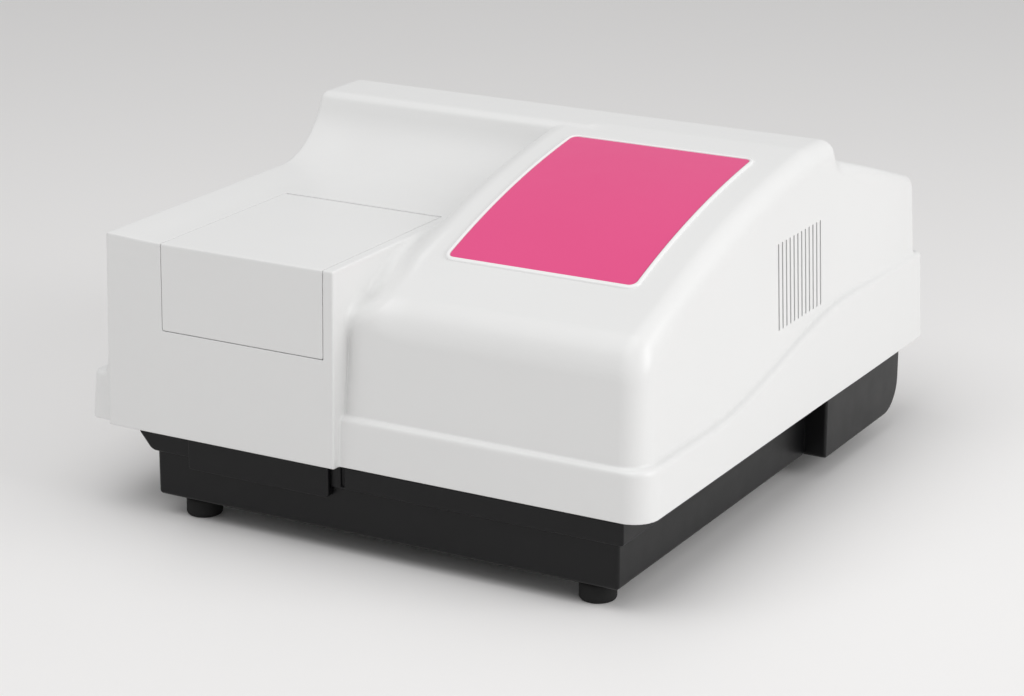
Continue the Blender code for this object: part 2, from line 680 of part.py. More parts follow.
def fan():
    half = FAN_SIDE / 2
    y1 = REAR_Y[0] - GAP
    y0 = y1 - FAN_DEPTH
    frame = outline("fan_frame", [rectangle((FAN_X, FAN_Z), FAN_SIDE, FAN_SIDE, 4.0),
                                  circle((FAN_X, FAN_Z), 27.5, 28)], y0, y1, "y",
                    BLACK_PLASTIC)
    spokes = [box("fan_spoke_x", (FAN_X - half + 1, FAN_X + half - 1), (y0 + 0.2, y0 + 2.8),
                  (FAN_Z - 1.5, FAN_Z + 1.5)),
              box("fan_spoke_z", (FAN_X - 1.5, FAN_X + 1.5), (y0 + 0.2, y0 + 2.8),
                  (FAN_Z - half + 1, FAN_Z + half - 1)),
              cylinder("fan_stator", (FAN_X, y0 + 1.6, FAN_Z), 11.0, 2.4, "y", segments=16)]
    join(frame, *spokes)
    middle = (y0 + y1) / 2 + 1.5
    rotor = cylinder("fan_rotor", (FAN_X, middle, FAN_Z), 11.0, 18.0, "y", BLACK_PLASTIC,
                     segments=20)
    blades = 7
    for k in range(blades):
        blade = box(f"fan_blade_{k}", (9.0, 25.8), (-0.8, 0.8), (-7.0, 7.0))
        place = (Matrix.Translation(Vector((FAN_X, middle, FAN_Z)) * MM)
                 @ Matrix.Rotation(2 * math.pi * k / blades, 4, "Y")
                 @ Matrix.Rotation(math.radians(50), 4, "X"))
        blade.data.transform(place)
        join(rotor, blade)
    set_origin(rotor, (FAN_X, middle, FAN_Z))
    slots = []
    for inner, outer in ((8.0, 13.5), (16.0, 25.5)):
        for k in range(4):
            start = 90 * k + 6
            slots.append(arc((FAN_X, FAN_Z), outer, start, start + 78, 6)
                         + arc((FAN_X, FAN_Z), inner, start + 78, start, 6))
    outline("fan_guard", [circle((FAN_X, FAN_Z), 31.0, 32)] + slots, REAR_Y[1] + GAP,
            REAR_Y[1] + GAP + 1.2, "y", STEEL)


# ---------------------------------------------------------------- sample side

def sample_well():
    top = COMPARTMENT_Z - WALL - 0.6
    sill = (156.0, 158.0)
    front = -263.5
    well = box("sample_well", WELL_X, WELL_Y, (WELL_FLOOR, top), WELL_BLACK)
    inside = box("well_inside", (WELL_X[0] + 2, WELL_X[1] - 2), (WELL_Y[0] + 2, WELL_Y[1] - 2),
                 (WELL_FLOOR + 2, top + 5))
    gate = box("well_gate", (WELL_X[0] + 2, WELL_X[1] - 2), (WELL_Y[0] - 2, WELL_Y[0] + 5),
               (sill[1], top + 5))
    window = cylinder("window_hole", (WINDOW_X, CUP_Y, WELL_FLOOR), 14.0, 10.0)
    spindle = cylinder("spindle_hole", (CUP_X, CUP_Y, WELL_FLOOR), 4.5, 10.0, segments=16)
    cut(well, inside, gate, window, spindle)
    strip = [(front, sill[0]), (front + 2, sill[0]), (front + 2, top - 2), (WELL_Y[1], top - 2),
             (WELL_Y[1], top), (front, top)]
    lip_left = outline("lip_left", [strip], LID_X[0] + 0.3, WELL_X[0] + 0.5, "x")
    lip_right = outline("lip_right", [strip], WELL_X[1] - 0.5, LID_X[1] - 0.9, "x")
    lip_front = box("lip_front", (LID_X[0] + 0.3, LID_X[1] - 0.9), (front, WELL_Y[0] + 1), sill)
    join(well, lip_left, lip_right, lip_front)
    cylinder("well_window", (WINDOW_X, CUP_Y, WELL_FLOOR + 1.0), 13.6, 1.4, "z", GLASS)
    box("well_stand", (-123.0, -117.0), (-240.0, -130.0), (BENCH_Z[1] + GAP, WELL_FLOOR - GAP),
        ALUMINIUM)


def cup_drive():
    motor_top = 148.0
    motor = cylinder("cup_motor", (CUP_X, CUP_Y, 130.0), 13.0, 36.0, "z", STEEL)
    cut(motor, cylinder("motor_bore", (CUP_X, CUP_Y, motor_top), 3.3, 24.0, segments=16))
    bottom, top = 154.0, 158.0
    table = cylinder("cup_turntable", (CUP_X, CUP_Y, (bottom + top) / 2), 52.0, top - bottom,
                     "z", ALUMINIUM, segments=40)
    pockets = []
    for k in range(3):
        start = 120 * k + 8
        sector = arc((CUP_X, CUP_Y), 46.0, start, start + 104, 8)
        sector += arc((CUP_X, CUP_Y), 12.0, start + 96, start + 8, 2)
        pockets.append(outline(f"pocket_{k}", [sector], 150.0, 162.0, "z"))
    cut(table, *pockets)
    join(table, cylinder("spindle", (CUP_X, CUP_Y, 149.0), 3.0, 14.0, segments=16))
    lathe("sample_cup", [(CUP_R, 33.0), (CUP_R, 0.0), (CUP_R - 7, 0.0), (CUP_R - 7, 2.0),
                         (CUP_R - 3, 2.0), (CUP_R - 3, 33.0)],
          (CUP_X, CUP_Y, top + GAP), ALUMINIUM, steps=40)
    glass = cylinder("cup_glass", (CUP_X, CUP_Y, top + 2 * GAP + 3.0), CUP_R - 3.5, 2.0, "z",
                     GLASS, segments=40)
    for obj in (table, glass):
        set_origin(obj, (CUP_X, CUP_Y, top))


def sphere_and_detector():
    top = WELL_FLOOR - GAP
    block = box("integrating_sphere", (WINDOW_X - 25, WINDOW_X + 25), (CUP_Y - 25, CUP_Y + 25),
                (BENCH_Z[1] + GAP, top), ALUMINIUM)
    bm = bmesh.new()
    bmesh.ops.create_uvsphere(bm, u_segments=20, v_segments=12, radius=21.0 * MM)
    bmesh.ops.translate(bm, vec=Vector((WINDOW_X, CUP_Y, BEAM_Z)) * MM, verts=bm.verts)
    hollow = add_object("sphere_hollow", finish_bmesh(bm, "sphere_hollow"))
    ports = [cylinder("sample_port", (WINDOW_X, CUP_Y, top - 2), 10.0, 14.0, segments=20),
             cylinder("beam_port", (WINDOW_X + 24, CUP_Y, BEAM_Z), 6.0, 16.0, "x", segments=16),
             cylinder("detector_port", (WINDOW_X, CUP_Y - 24, BEAM_Z), 5.0, 16.0, "y",
                      segments=16)]
    cut(block, hollow, *ports)
    face = CUP_Y - 25
    can = cylinder("detector", (WINDOW_X, face - 1.5, BEAM_Z), 4.4, 10.0, "y", STEEL,
                   segments=16)
    join(can, cylinder("detector_flange", (WINDOW_X, face - 2.0, BEAM_Z), 7.0, 2.6, "y",
                       segments=20))
    box("detector_board", (WINDOW_X - 20, WINDOW_X + 20), (face - 8.4, face - 6.8),
        (BEAM_Z - 18, BEAM_Z + 18), BOARD_GREEN)


def interlock():
    x, y = -50.0, -107.0
    switch = box("interlock_switch", (x - 12, x + 12), (WELL_Y[1] + GAP, y + 4), (206.0, 222.0),
                 BLACK_PLASTIC)
    cut(switch, cylinder("plunger_bore", (x, y, 218.0), 2.1, 14.0, segments=16))
    plunger = cylinder("interlock_plunger", (x, y, 220.3), 1.8, 12.6, "z", BEZEL_WHITE,
                       segments=16)
    set_origin(plunger, (x, y, 222.0))


# ---------------------------------------------------------------- optics

def bench():
    outline("optical_bench", [rectangle((40.0, -57.0), 330.0, 330.0, 8.0),
                              circle((PINION_X, GRATING_Y), SHAFT_HOLE_R, 16)],
            *BENCH_Z, "z", ALUMINIUM)
    for place, x, y in (("front_left", -112, -208), ("front_right", 192, -208),
                        ("rear_left", -112, 95), ("rear_right", 192, 95)):
        height = BENCH_Z[0] - FOOT_Z - WALL - 2 * GAP
        cylinder(f"bench_mount_{place}", (x, y, FOOT_Z + WALL + GAP + height / 2), 8.0, height,
                 "z", RUBBER, segments=20)


def monochromator():
    housing = box("monochromator_housing", HOUSING_X, HOUSING_Y, HOUSING_Z, BLACK_PLASTIC)
    inside = box("housing_inside", (HOUSING_X[0] + 4, HOUSING_X[1] - 4),
                 (HOUSING_Y[0] + 4, HOUSING_Y[1] - 4), (HOUSING_Z[0] + 4, HOUSING_Z[1] + 5))
    exits = [cylinder("exit_hole", (HOUSING_X[0], CUP_Y, BEAM_Z), 5.0, 12.0, "x", segments=16),
             cylinder("entrance_hole", (LAMP_X, HOUSING_Y[1], BEAM_Z), 5.0, 12.0, "y",
                      segments=16),
             cylinder("shaft_hole", (PINION_X, GRATING_Y, 92.0), SHAFT_HOLE_R, 8.0, segments=16),
             cylinder("pivot_hole", (GRATING_X, GRATING_Y, 94.5), 4.2, 5.0, segments=16)]
    cut(housing, inside, *exits)
    box("monochromator_cover", HOUSING_X, HOUSING_Y, (HOUSING_Z[1] + GAP, HOUSING_Z[1] + 3.3),
        BLACK_PLASTIC)
    outline("entrance_slit", [rectangle((LAMP_X, BEAM_Z), 24.0, 24.0),
                              rectangle((LAMP_X, BEAM_Z), 1.2, 8.0)],
            HOUSING_Y[1] + GAP, HOUSING_Y[1] + 1.5, "y", STEEL)
    outline("exit_slit", [rectangle((CUP_Y, BEAM_Z), 24.0, 24.0),
                          rectangle((CUP_Y, BEAM_Z), 1.2, 8.0)],
            HOUSING_X[0] - 1.5, HOUSING_X[0] - GAP, "x", STEEL)


def mirror(name, x, y, heading):
    """A round mirror on a foot; heading is the way it faces, in degrees from +X."""
    radius, thickness = 22.0, 8.0
    floor = HOUSING_Z[0] + 4 + GAP
    disc = cylinder(name, (0, 0, BEAM_Z), radius, thickness, "x", MIRROR, segments=28)
    foot = box(name + "_foot", (-4, 4), (-10, 10), (floor, BEAM_Z - radius + 3))
    place = Matrix.Translation(Vector((x, y, 0)) * MM) @ Matrix.Rotation(
        math.radians(heading), 4, "Z")
    for obj in (disc, foot):
        obj.data.transform(place)
    join(disc, foot)


def tooth_half_angle(radius, teeth):
    """Half the angle that an involute tooth takes at a radius, with backlash."""
    pitch_r = GEAR_MODULE * teeth / 2
    pressure = math.radians(20)
    base_r = pitch_r * math.cos(pressure)
    backlash = 0.35
    at_pitch = math.pi / (2 * teeth) - backlash / (2 * pitch_r)
    turn = math.acos(min(base_r / max(radius, base_r), 1.0))
    return (at_pitch + (math.tan(pressure) - pressure)
            - (math.tan(turn) - turn))


def gear_outline(centre, teeth, angles, closing=None):
    """Teeth at the given angles in degrees; closing adds the points that shut a sector."""
    pitch_r = GEAR_MODULE * teeth / 2
    radii = [pitch_r - 1.25 * GEAR_MODULE, pitch_r - 0.5 * GEAR_MODULE, pitch_r,
             pitch_r + 0.9 * GEAR_MODULE]
    points = []
    for angle in angles:
        turn = math.radians(angle)
        rising = [(r, turn - tooth_half_angle(r, teeth)) for r in radii]
        falling = [(r, turn + tooth_half_angle(r, teeth)) for r in reversed(radii)]
        points += [(centre[0] + r * math.cos(a), centre[1] + r * math.sin(a))
                   for r, a in rising + falling]
    return points + (closing or [])


def grating_drive():
    low, high = 97.0, 102.0
    centre = (GRATING_X, GRATING_Y)
    step = 360 / SECTOR_TEETH
    angles = [180 + step * k for k in range(-7, 4)]
    hub = arc(centre, 14.0, angles[-1] + 20, angles[0] + 340, 14)
    table = outline("grating_table", [gear_outline(centre, SECTOR_TEETH, angles, hub)],
                    low, high, "z", ALUMINIUM)
    join(table, cylinder("table_disc", (*centre, (low + high) / 2 + 0.5), 18.0, high - low,
                         segments=28),
         cylinder("table_pivot", (*centre, 95.5), 4.0, 6.0, segments=16))
    block = box("grating", (-16, 16), (-8, 0), (102.8, 134.8), MIRROR)
    place = Matrix.Translation(Vector((*centre, 0)) * MM) @ Matrix.Rotation(
        math.radians(215), 4, "Z")
    block.data.transform(place)
    pinion_angles = [360 / PINION_TEETH * (k + 0.5) for k in range(PINION_TEETH)]
    pinion = outline("grating_pinion",
                     [gear_outline((PINION_X, GRATING_Y), PINION_TEETH, pinion_angles)],
                     low - 0.5, high + 0.5, "z", STEEL)
    join(pinion, cylinder("pinion_shaft", (PINION_X, GRATING_Y, 82.0), 2.5, 34.0, segments=16))
    for obj in (table, block):
        set_origin(obj, (*centre, low))
    set_origin(pinion, (PINION_X, GRATING_Y, low))
    top = BENCH_Z[0] - GAP
    motor = box("grating_motor", (PINION_X - 19.5, PINION_X + 19.5),
                (GRATING_Y - 19.5, GRATING_Y + 19.5), (top - 34, top), STEEL)
    bevel(motor, 3.0, 1)
    cut(motor, cylinder("grating_motor_bore", (PINION_X, GRATING_Y, top), 2.8, 44.0,
                        segments=16))


def filters():
    y0, y1 = 27.0, 29.5
    holes = []
    for k in range(5):
        angle = math.pi + 2 * math.pi * k / 5
        holes.append(circle((WHEEL_X + 20 * math.cos(angle), BEAM_Z + 20 * math.sin(angle)),
                            7.0, 16))
    wheel = outline("filter_wheel", [circle((WHEEL_X, BEAM_Z), 30.0, 40)] + holes, y0, y1, "y",
                    ALUMINIUM)
    join(wheel, cylinder("wheel_shaft", (WHEEL_X, 35.0, BEAM_Z), 2.0, 13.0, "y", segments=12))
    set_origin(wheel, (WHEEL_X, y0, BEAM_Z))
    motor = cylinder("filter_motor", (WHEEL_X, 43.0, BEAM_Z), 9.0, 22.0, "y", STEEL)
    cut(motor, cylinder("filter_motor_bore", (WHEEL_X, 37.0, BEAM_Z), 2.3, 14.0, "y",
                        segments=12))


def lamp():
    x0, x1 = LAMP_X - 22, LAMP_X + 22
    y0, y1 = 62.0, 104.0
    top = 158.0
    housing = box("lamp_housing", (x0, x1), (y0, y1), (BENCH_Z[1] + GAP, top), ALUMINIUM)
    bore = cylinder("lamp_bore", (LAMP_X, y0 + 17, BEAM_Z), 12.3, 38.0, "y")
    fins = [box(f"fin_gap_{k}", (x0 + 4 + 8 * k, x0 + 8 + 8 * k), (y0 - 5, y1 + 5),
                (142.0, top + 5)) for k in range(5)]
    cut(housing, bore, merged_cutter("fin_gaps", fins))
    lathe("halogen_lamp", [(0, 10), (7, 10), (7, 0), (5, 0), (5.5, -4), (5.5, -8), (3.5, -12),
                           (0, -13.5)], (LAMP_X, 86.0, BEAM_Z), GLASS, "y", 20)
    lathe("condenser_lens", [(0, 2.8), (6, 2.3), (11.6, 0.8), (11.6, -0.8), (6, -2.3),
                             (0, -2.8)], (LAMP_X, 66.5, BEAM_Z), GLASS, "y", 28)


# ---------------------------------------------------------------- electronics

def electronics():
    floor = FOOT_Z + WALL + GAP
    board = box("main_board", (-90.0, 60.0), (-190.0, -40.0), (34.0, 35.8), BOARD_GREEN)
    for k, (x, y) in enumerate(((-84, -184), (54, -184), (54, -46), (-84, -46))):
        join(board, cylinder(f"standoff_{k}", (x, y, (floor + 34.5) / 2), 3.0, 34.5 - floor,
                             segments=10))
    for k, (x, y, size, height) in enumerate(((-55, -150, 22, 3), (-10, -120, 28, 3),
                                              (30, -165, 14, 8), (-60, -70, 18, 8))):
        join(board, box(f"component_{k}", (x - size / 2, x + size / 2),
                        (y - size / 2, y + size / 2), (35.0, 35.8 + height)))
    supply = box("power_supply", (60.0, 180.0), (112.0, 206.0), (floor, 66.0), STEEL)
    bevel(supply, 1.0, 1)


top_casing()
lid_parts()
operating_panel()
base_tray()
feet()
rear_fittings()
rear_switch()
fan()
sample_well()
cup_drive()
sphere_and_detector()
interlock()
bench()
monochromator()
mirror("collimating_mirror", LAMP_X, -192.0, 104.5)
mirror("focusing_mirror", 166.0, -125.0, 172.0)
grating_drive()
filters()
lamp()
electronics()
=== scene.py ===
"""Looks for the bench spectrophotometer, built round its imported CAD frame.

Lengths are millimetres in the row frame (front towards -Y, feet on z = 0) and become metres
where a mesh is made. The casing, the lid and the base are signed-distance fields, negative
inside, that are turned into meshes on graded grids.
"""

import math

import bmesh
import bpy
import numpy as np
from mathutils import Matrix, Vector


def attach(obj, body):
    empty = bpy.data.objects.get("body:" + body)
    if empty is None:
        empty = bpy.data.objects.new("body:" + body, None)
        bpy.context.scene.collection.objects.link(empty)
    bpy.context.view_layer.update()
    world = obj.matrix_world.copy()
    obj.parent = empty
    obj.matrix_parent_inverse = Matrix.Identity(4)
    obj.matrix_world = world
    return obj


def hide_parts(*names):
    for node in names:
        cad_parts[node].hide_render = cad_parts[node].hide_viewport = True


MM = 0.001

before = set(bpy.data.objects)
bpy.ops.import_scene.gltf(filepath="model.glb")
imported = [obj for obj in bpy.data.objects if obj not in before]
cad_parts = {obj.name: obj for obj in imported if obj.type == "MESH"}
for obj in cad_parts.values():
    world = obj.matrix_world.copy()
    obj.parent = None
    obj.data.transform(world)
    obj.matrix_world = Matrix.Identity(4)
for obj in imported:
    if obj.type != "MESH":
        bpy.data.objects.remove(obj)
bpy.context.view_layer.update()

# ---------------------------------------------------------------- sizes

SKIRT_Z = 73.2           # bottom edge of the casing
WALL = 3.0               # moulded wall of the casing, lid and base
THICK_WALL = 5.0         # casing wall at the console and the rear deck
RIDGE_Z = 283.3
DECK_Z = 230.0           # top of the sample compartment
COMPARTMENT_X = (-224.5, -13.5)
CONSOLE_X = (-6.0, 241.5)
SHOULDER_R = 24.0        # along the console's left edge
VALLEY_R = 17.0          # between that shoulder and the valley's floor
SKIRT_X = (-251.0, 250.0)
SKIRT_LEAN = (0.07, 0.03)
SKIRT_MIDDLE_Y, SKIRT_HALF_Y = 4.6, 267.6
CREASE_Z = (113.0, 151.5)               # front and rear

LID_X = (-172.0, -23.0)
LID_FOOT_Z = 159.5
LID_GAP = 0.55
HINGE_Y, HINGE_Z = -94.0, 226.5
BARREL_R = 3.5
PIN_R = 1.5
PIN_BORE_R = PIN_R + 0.1
BORE_DEPTH = 11.5
BOSS_Y, BOSS_Z = (-100.0, -88.0), (219.0, 228.5)
LEFT_BOSS_X, RIGHT_BOSS_X = (-182.0, -173.0), (-22.0, -12.5)

REAR_OPENING_X, REAR_OPENING_Z = (-120.0, 190.0), (88.0, 182.0)
REAR_OPENING_Y = 240.0                  # the cut starts here, inside the casing

FOOT_Z = 17.7            # underside of the base, on top of the feet
FOOT_R = 14.5
FOOT_X, FOOT_Y = (-158.7, 198.2), (-237.7, 190.0)
TRAY_X, TRAY_Y, TRAY_TOP = (-187.5, 226.0), (-259.6, 81.0), 77.0
RIM_X, RIM_Y, RIM_Z = (-203.5, 231.0), (-262.4, 79.0), (55.0, 72.9)
NOTCH_X, NOTCH_Z = -11.5, 57.0
FLANGE_X, FLANGE_Y, FLANGE_Z = (-246.0, 246.0), (-258.0, 262.0), (74.0, 78.1)
BLOCK_X, BLOCK_Y, BLOCK_TOP = (-205.5, 245.0), (78.2, 235.0), 77.9
PLATE_X, PLATE_Z, PLATE_Y = (-153.0, -22.0), (47.0, 72.6), -266.0
PLATE_STEP_Y, PLATE_STEP_Z = (-262.7, -259.9), 54.7

VENT_COUNT, VENT_PITCH, VENT_Y = 12, 7.4, -15.5
VENT_Z = (154.5, 225.4)
VENT_WIDTH = 2.4
VENT_CUT_X = (225.0, 260.0)

PANEL_CENTRE = (116.0, -80.0)
PANEL_SIZE = (159.6, 203.5)
PANEL_R = 5.0
FILM_TOP, FILM_BOTTOM = 0.75, -0.3      # above the slope


# ---------------------------------------------------------------- materials

def shader_material(name, colour, roughness, **sockets):
    """A Principled material; sockets set other inputs, with _ for a space."""
    mat = bpy.data.materials.new(name)
    mat.use_nodes = True
    shader = mat.node_tree.nodes["Principled BSDF"]
    shader.inputs["Base Color"].default_value = (*colour, 1.0)
    shader.inputs["Roughness"].default_value = roughness
    for socket, value in sockets.items():
        shader.inputs[socket.replace("_", " ")].default_value = value
    return mat


def node(mat, kind, inputs=None, **settings):
    made = mat.node_tree.nodes.new(kind)
    for key, value in settings.items():
        setattr(made, key, value)
    for socket, value in (inputs or {}).items():
        made.inputs[socket].default_value = value
    return made


def link(mat, source, target):
    mat.node_tree.links.new(source, target)


def noise(mat, scale):
    """Noise on the piece's own coordinates, scale in cells per metre."""
    place = node(mat, "ShaderNodeTexCoord")
    grain = node(mat, "ShaderNodeTexNoise", {"Scale": scale, "Detail": 3.0, "Roughness": 0.5})
    link(mat, place.outputs["Object"], grain.inputs["Vector"])
    return grain.outputs["Fac"]


def ranged(mat, value, low, high):
    """Noise, which rarely leaves 0.15 to 0.85, stretched to run from low to high."""
    spread = node(mat, "ShaderNodeMapRange", {"From Min": 0.15, "From Max": 0.85,
                                              "To Min": low, "To Max": high})
    link(mat, value, spread.inputs["Value"])
    return spread.outputs["Result"]


def vary_roughness(mat, scale, low, high):
    shader = mat.node_tree.nodes["Principled BSDF"]
    link(mat, ranged(mat, noise(mat, scale), low, high), shader.inputs["Roughness"])


def vary_colour(mat, scale, first, second):
    shader = mat.node_tree.nodes["Principled BSDF"]
    mix = node(mat, "ShaderNodeMix", data_type="RGBA")
    link(mat, ranged(mat, noise(mat, scale), 0.0, 1.0), mix.inputs["Factor"])
    mix.inputs["A"].default_value = (*first, 1.0)
    mix.inputs["B"].default_value = (*second, 1.0)
    link(mat, mix.outputs["Result"], shader.inputs["Base Color"])


def grain_bump(mat, scale, distance):
    """Fine surface grain, distance in metres."""
    shader = mat.node_tree.nodes["Principled BSDF"]
    bump = node(mat, "ShaderNodeBump", {"Strength": 1.0, "Distance": distance})
    link(mat, noise(mat, scale), bump.inputs["Height"])
    link(mat, bump.outputs["Normal"], shader.inputs["Normal"])


def moulded(name, colour, second, roughness, grain=0.00002, scale=1400.0, **sockets):
    """Moulded plastic: faint cloudy colour, uneven gloss and a fine spark-eroded grain."""
    mat = shader_material(name, colour, roughness, **sockets)
    vary_colour(mat, 9.0, colour, second)
    vary_roughness(mat, 45.0, roughness - 0.04, roughness + 0.05)
    grain_bump(mat, scale, grain)
    return mat


CASING = moulded("casing_plastic", (0.80, 0.80, 0.795), (0.785, 0.785, 0.78), 0.33)
BEZEL = moulded("bezel_plastic", (0.88, 0.88, 0.875), (0.86, 0.86, 0.855), 0.22)
PINK = moulded("overlay_film", (0.78, 0.067, 0.24), (0.765, 0.061, 0.23), 0.34,
               grain=0.00001, scale=2600.0)
BLACK = moulded("base_plastic", (0.0025, 0.0025, 0.003), (0.004, 0.004, 0.0045), 0.36,
                Specular_IOR_Level=0.27)


def metal(name, colour, low, high, stretch=(1.0, 1.0, 1.0), scale=120.0):
    """Bare metal whose gloss is drawn out along its machining marks."""
    mat = shader_material(name, colour, low, Metallic=1.0)
    shader = mat.node_tree.nodes["Principled BSDF"]
    place = node(mat, "ShaderNodeTexCoord")
    squash = node(mat, "ShaderNodeMapping", {"Scale": stretch})
    grain = node(mat, "ShaderNodeTexNoise", {"Scale": scale, "Detail": 4.0})
    link(mat, place.outputs["Object"], squash.inputs["Vector"])
    link(mat, squash.outputs["Vector"], grain.inputs["Vector"])
    link(mat, ranged(mat, grain.outputs["Fac"], low, high), shader.inputs["Roughness"])
    bump = node(mat, "ShaderNodeBump", {"Strength": 0.6, "Distance": 0.00001})
    link(mat, grain.outputs["Fac"], bump.inputs["Height"])
    link(mat, bump.outputs["Normal"], shader.inputs["Normal"])
    return mat


def clear_glass(name, tint):
    roughness = 0.02
    mat = shader_material(name, tint, roughness, Transmission_Weight=1.0, IOR=1.5)
    vary_roughness(mat, 60.0, roughness, roughness + 0.03)
    return mat


def board(name):
    """Circuit board with copper lines under green lacquer."""
    mat = shader_material(name, (0.02, 0.16, 0.07), 0.35)
    shader = mat.node_tree.nodes["Principled BSDF"]
    place = node(mat, "ShaderNodeTexCoord")
    tracks = node(mat, "ShaderNodeTexBrick", {"Scale": 130.0, "Mortar Size": 0.03,
                                              "Color1": (0.018, 0.14, 0.06, 1.0),
                                              "Color2": (0.022, 0.17, 0.075, 1.0),
                                              "Mortar": (0.05, 0.28, 0.12, 1.0)})
    link(mat, place.outputs["Object"], tracks.inputs["Vector"])
    link(mat, tracks.outputs["Color"], shader.inputs["Base Color"])
    vary_roughness(mat, 80.0, 0.3, 0.45)
    return mat


RUBBER = moulded("rubber", (0.010, 0.010, 0.010), (0.016, 0.016, 0.016), 0.8, grain=0.00005,
                 Specular_IOR_Level=0.3)
WELL = moulded("well_coating", (0.012, 0.012, 0.013), (0.018, 0.018, 0.019), 0.62,
               grain=0.00006, scale=2200.0)
BLACK_PLASTIC = moulded("black_plastic", (0.022, 0.022, 0.023), (0.03, 0.03, 0.031), 0.42)
PANEL_GREY = moulded("grey_paint", (0.34, 0.35, 0.36), (0.37, 0.38, 0.39), 0.5, grain=0.00004)
STEEL = metal("rolled_steel", (0.56, 0.57, 0.58), 0.22, 0.4, (1.0, 12.0, 1.0))
ALUMINIUM = metal("cast_aluminium", (0.77, 0.78, 0.79), 0.28, 0.42, scale=600.0)
MIRROR = metal("mirror_coating", (0.92, 0.92, 0.94), 0.03, 0.06, scale=40.0)
GLASS = clear_glass("clear_glass", (0.93, 0.97, 0.96))
BOARD = board("circuit_board")
PAINTED = (
    (WELL, ["sample_well", "lid_baffle"]),
    (RUBBER, ["bench_mount_front_left", "bench_mount_front_right", "bench_mount_rear_left",
              "bench_mount_rear_right"]),
    (STEEL, ["lid_pin_left", "lid_pin_right", "cup_motor", "detector", "entrance_slit",
             "exit_slit", "fan_guard", "filter_motor", "grating_motor", "grating_pinion",
             "power_supply", "serial_port", "usb_port"]),
    (PANEL_GREY, ["rear_panel"]),
    (ALUMINIUM, ["cup_turntable", "sample_cup", "integrating_sphere", "well_stand",
                 "optical_bench", "grating_table", "filter_wheel", "lamp_housing"]),
    (BLACK_PLASTIC, ["power_inlet", "fuse_holder", "switch_frame", "switch_rocker", "fan_frame",
                     "fan_rotor", "interlock_switch", "monochromator_housing",
                     "monochromator_cover"]),
    (MIRROR, ["collimating_mirror", "focusing_mirror", "grating"]),
    (GLASS, ["cup_glass", "well_window", "halogen_lamp", "condenser_lens"]),
    (BOARD, ["main_board", "detector_board"]),
    (BEZEL, ["interlock_plunger"]),
)


# ---------------------------------------------------------------- camera, light and floor

CAMERA_AT = (1.1268, -2.0331, 0.8488)
CAMERA_YAW, CAMERA_PITCH, CAMERA_ROLL = 29.188, 17.913, 0.175      # degrees
LENS, SENSOR = 102.57, 36.0


def place_camera():
    yaw, pitch, roll = (math.radians(a) for a in (CAMERA_YAW, CAMERA_PITCH, CAMERA_ROLL))
    ahead = Vector((-math.sin(yaw) * math.cos(pitch), math.cos(yaw) * math.cos(pitch),
                    -math.sin(pitch)))
    level = Vector((math.cos(yaw), math.sin(yaw), 0.0))
    above = level.cross(ahead)
    right = level * math.cos(roll) + above * math.sin(roll)
    up = above * math.cos(roll) - level * math.sin(roll)
    data = bpy.data.cameras.new("camera")
    data.lens, data.sensor_width = LENS, SENSOR
    data.clip_end = 50.0
    camera = bpy.data.objects.new("camera", data)
    turn = Matrix((right, up, -ahead)).transposed()
    camera.matrix_world = Matrix.Translation(CAMERA_AT) @ turn.to_4x4()
    bpy.context.scene.collection.objects.link(camera)
    bpy.context.scene.camera = camera


def softbox(name, at, towards, size, power):
    data = bpy.data.lights.new(name, "AREA")
    data.shape = "RECTANGLE"
    data.size, data.size_y = size
    data.energy = power
    lamp = bpy.data.objects.new(name, data)
    lamp.location = at
    lamp.rotation_euler = (Vector(towards) - Vector(at)).to_track_quat("-Z", "Y").to_euler()
    bpy.context.scene.collection.objects.link(lamp)


def studio():
    world = bpy.data.worlds.new("studio")
    bpy.context.scene.world = world
    world.use_nodes = True
    background = world.node_tree.nodes["Background"]
    background.inputs["Color"].default_value = (1.0, 1.0, 1.0, 1.0)
    background.inputs["Strength"].default_value = 0.54
    softbox("top_softbox", (-0.2, -0.9, 2.5), (0.0, 0.0, 0.1), (2.2, 2.2), 26.0)
    softbox("right_softbox", (2.6, 0.1, 1.3), (0.1, 0.0, 0.15), (1.8, 1.8), 32.0)

    mesh = bpy.data.meshes.new("floor")
    reach = 12.0
    corners = [(-reach, -reach, 0), (reach, -reach, 0), (reach, reach, 0), (-reach, reach, 0)]
    mesh.from_pydata(corners, [], [(0, 1, 2, 3)])
    floor = bpy.data.objects.new("floor", mesh)
    bpy.context.scene.collection.objects.link(floor)
    paint = shader_material("floor_paint", (0.86, 0.85, 0.845), 0.6)
    vary_roughness(paint, 6.0, 0.55, 0.65)
    mesh.materials.append(paint)
    bpy.context.scene.view_settings.view_transform = "Standard"


# ---------------------------------------------------------------- outlines

def rounded(corners, steps=16):
    """Turn (u, v, radius) corners into points whose corners are arcs."""
    points = []
    count = len(corners)
    for index, (u, v, radius) in enumerate(corners):
        here = Vector((u, v))
        if radius <= 0:
            points.append((u, v))
            continue
        back = (Vector(corners[index - 1][:2]) - here).normalized()
        on = (Vector(corners[(index + 1) % count][:2]) - here).normalized()
        half = back.angle(on) / 2
        reach = radius / math.tan(half)
        centre = here + (back + on).normalized() * (radius / math.sin(half))
        first = here + back * reach - centre
        sweep = first.angle_signed(here + on * reach - centre)
        for step in range(steps + 1):
            spoke = Matrix.Rotation(-sweep * step / steps, 2) @ first
            points.append(tuple(centre + spoke))
    return points


def bezier(points, steps):
    t = np.linspace(0.0, 1.0, steps + 1)[:, None]
    a, b, c, d = (np.array(p) for p in points)
    return (1 - t) ** 3 * a + 3 * (1 - t) ** 2 * t * b + 3 * (1 - t) * t * t * c + t ** 3 * d


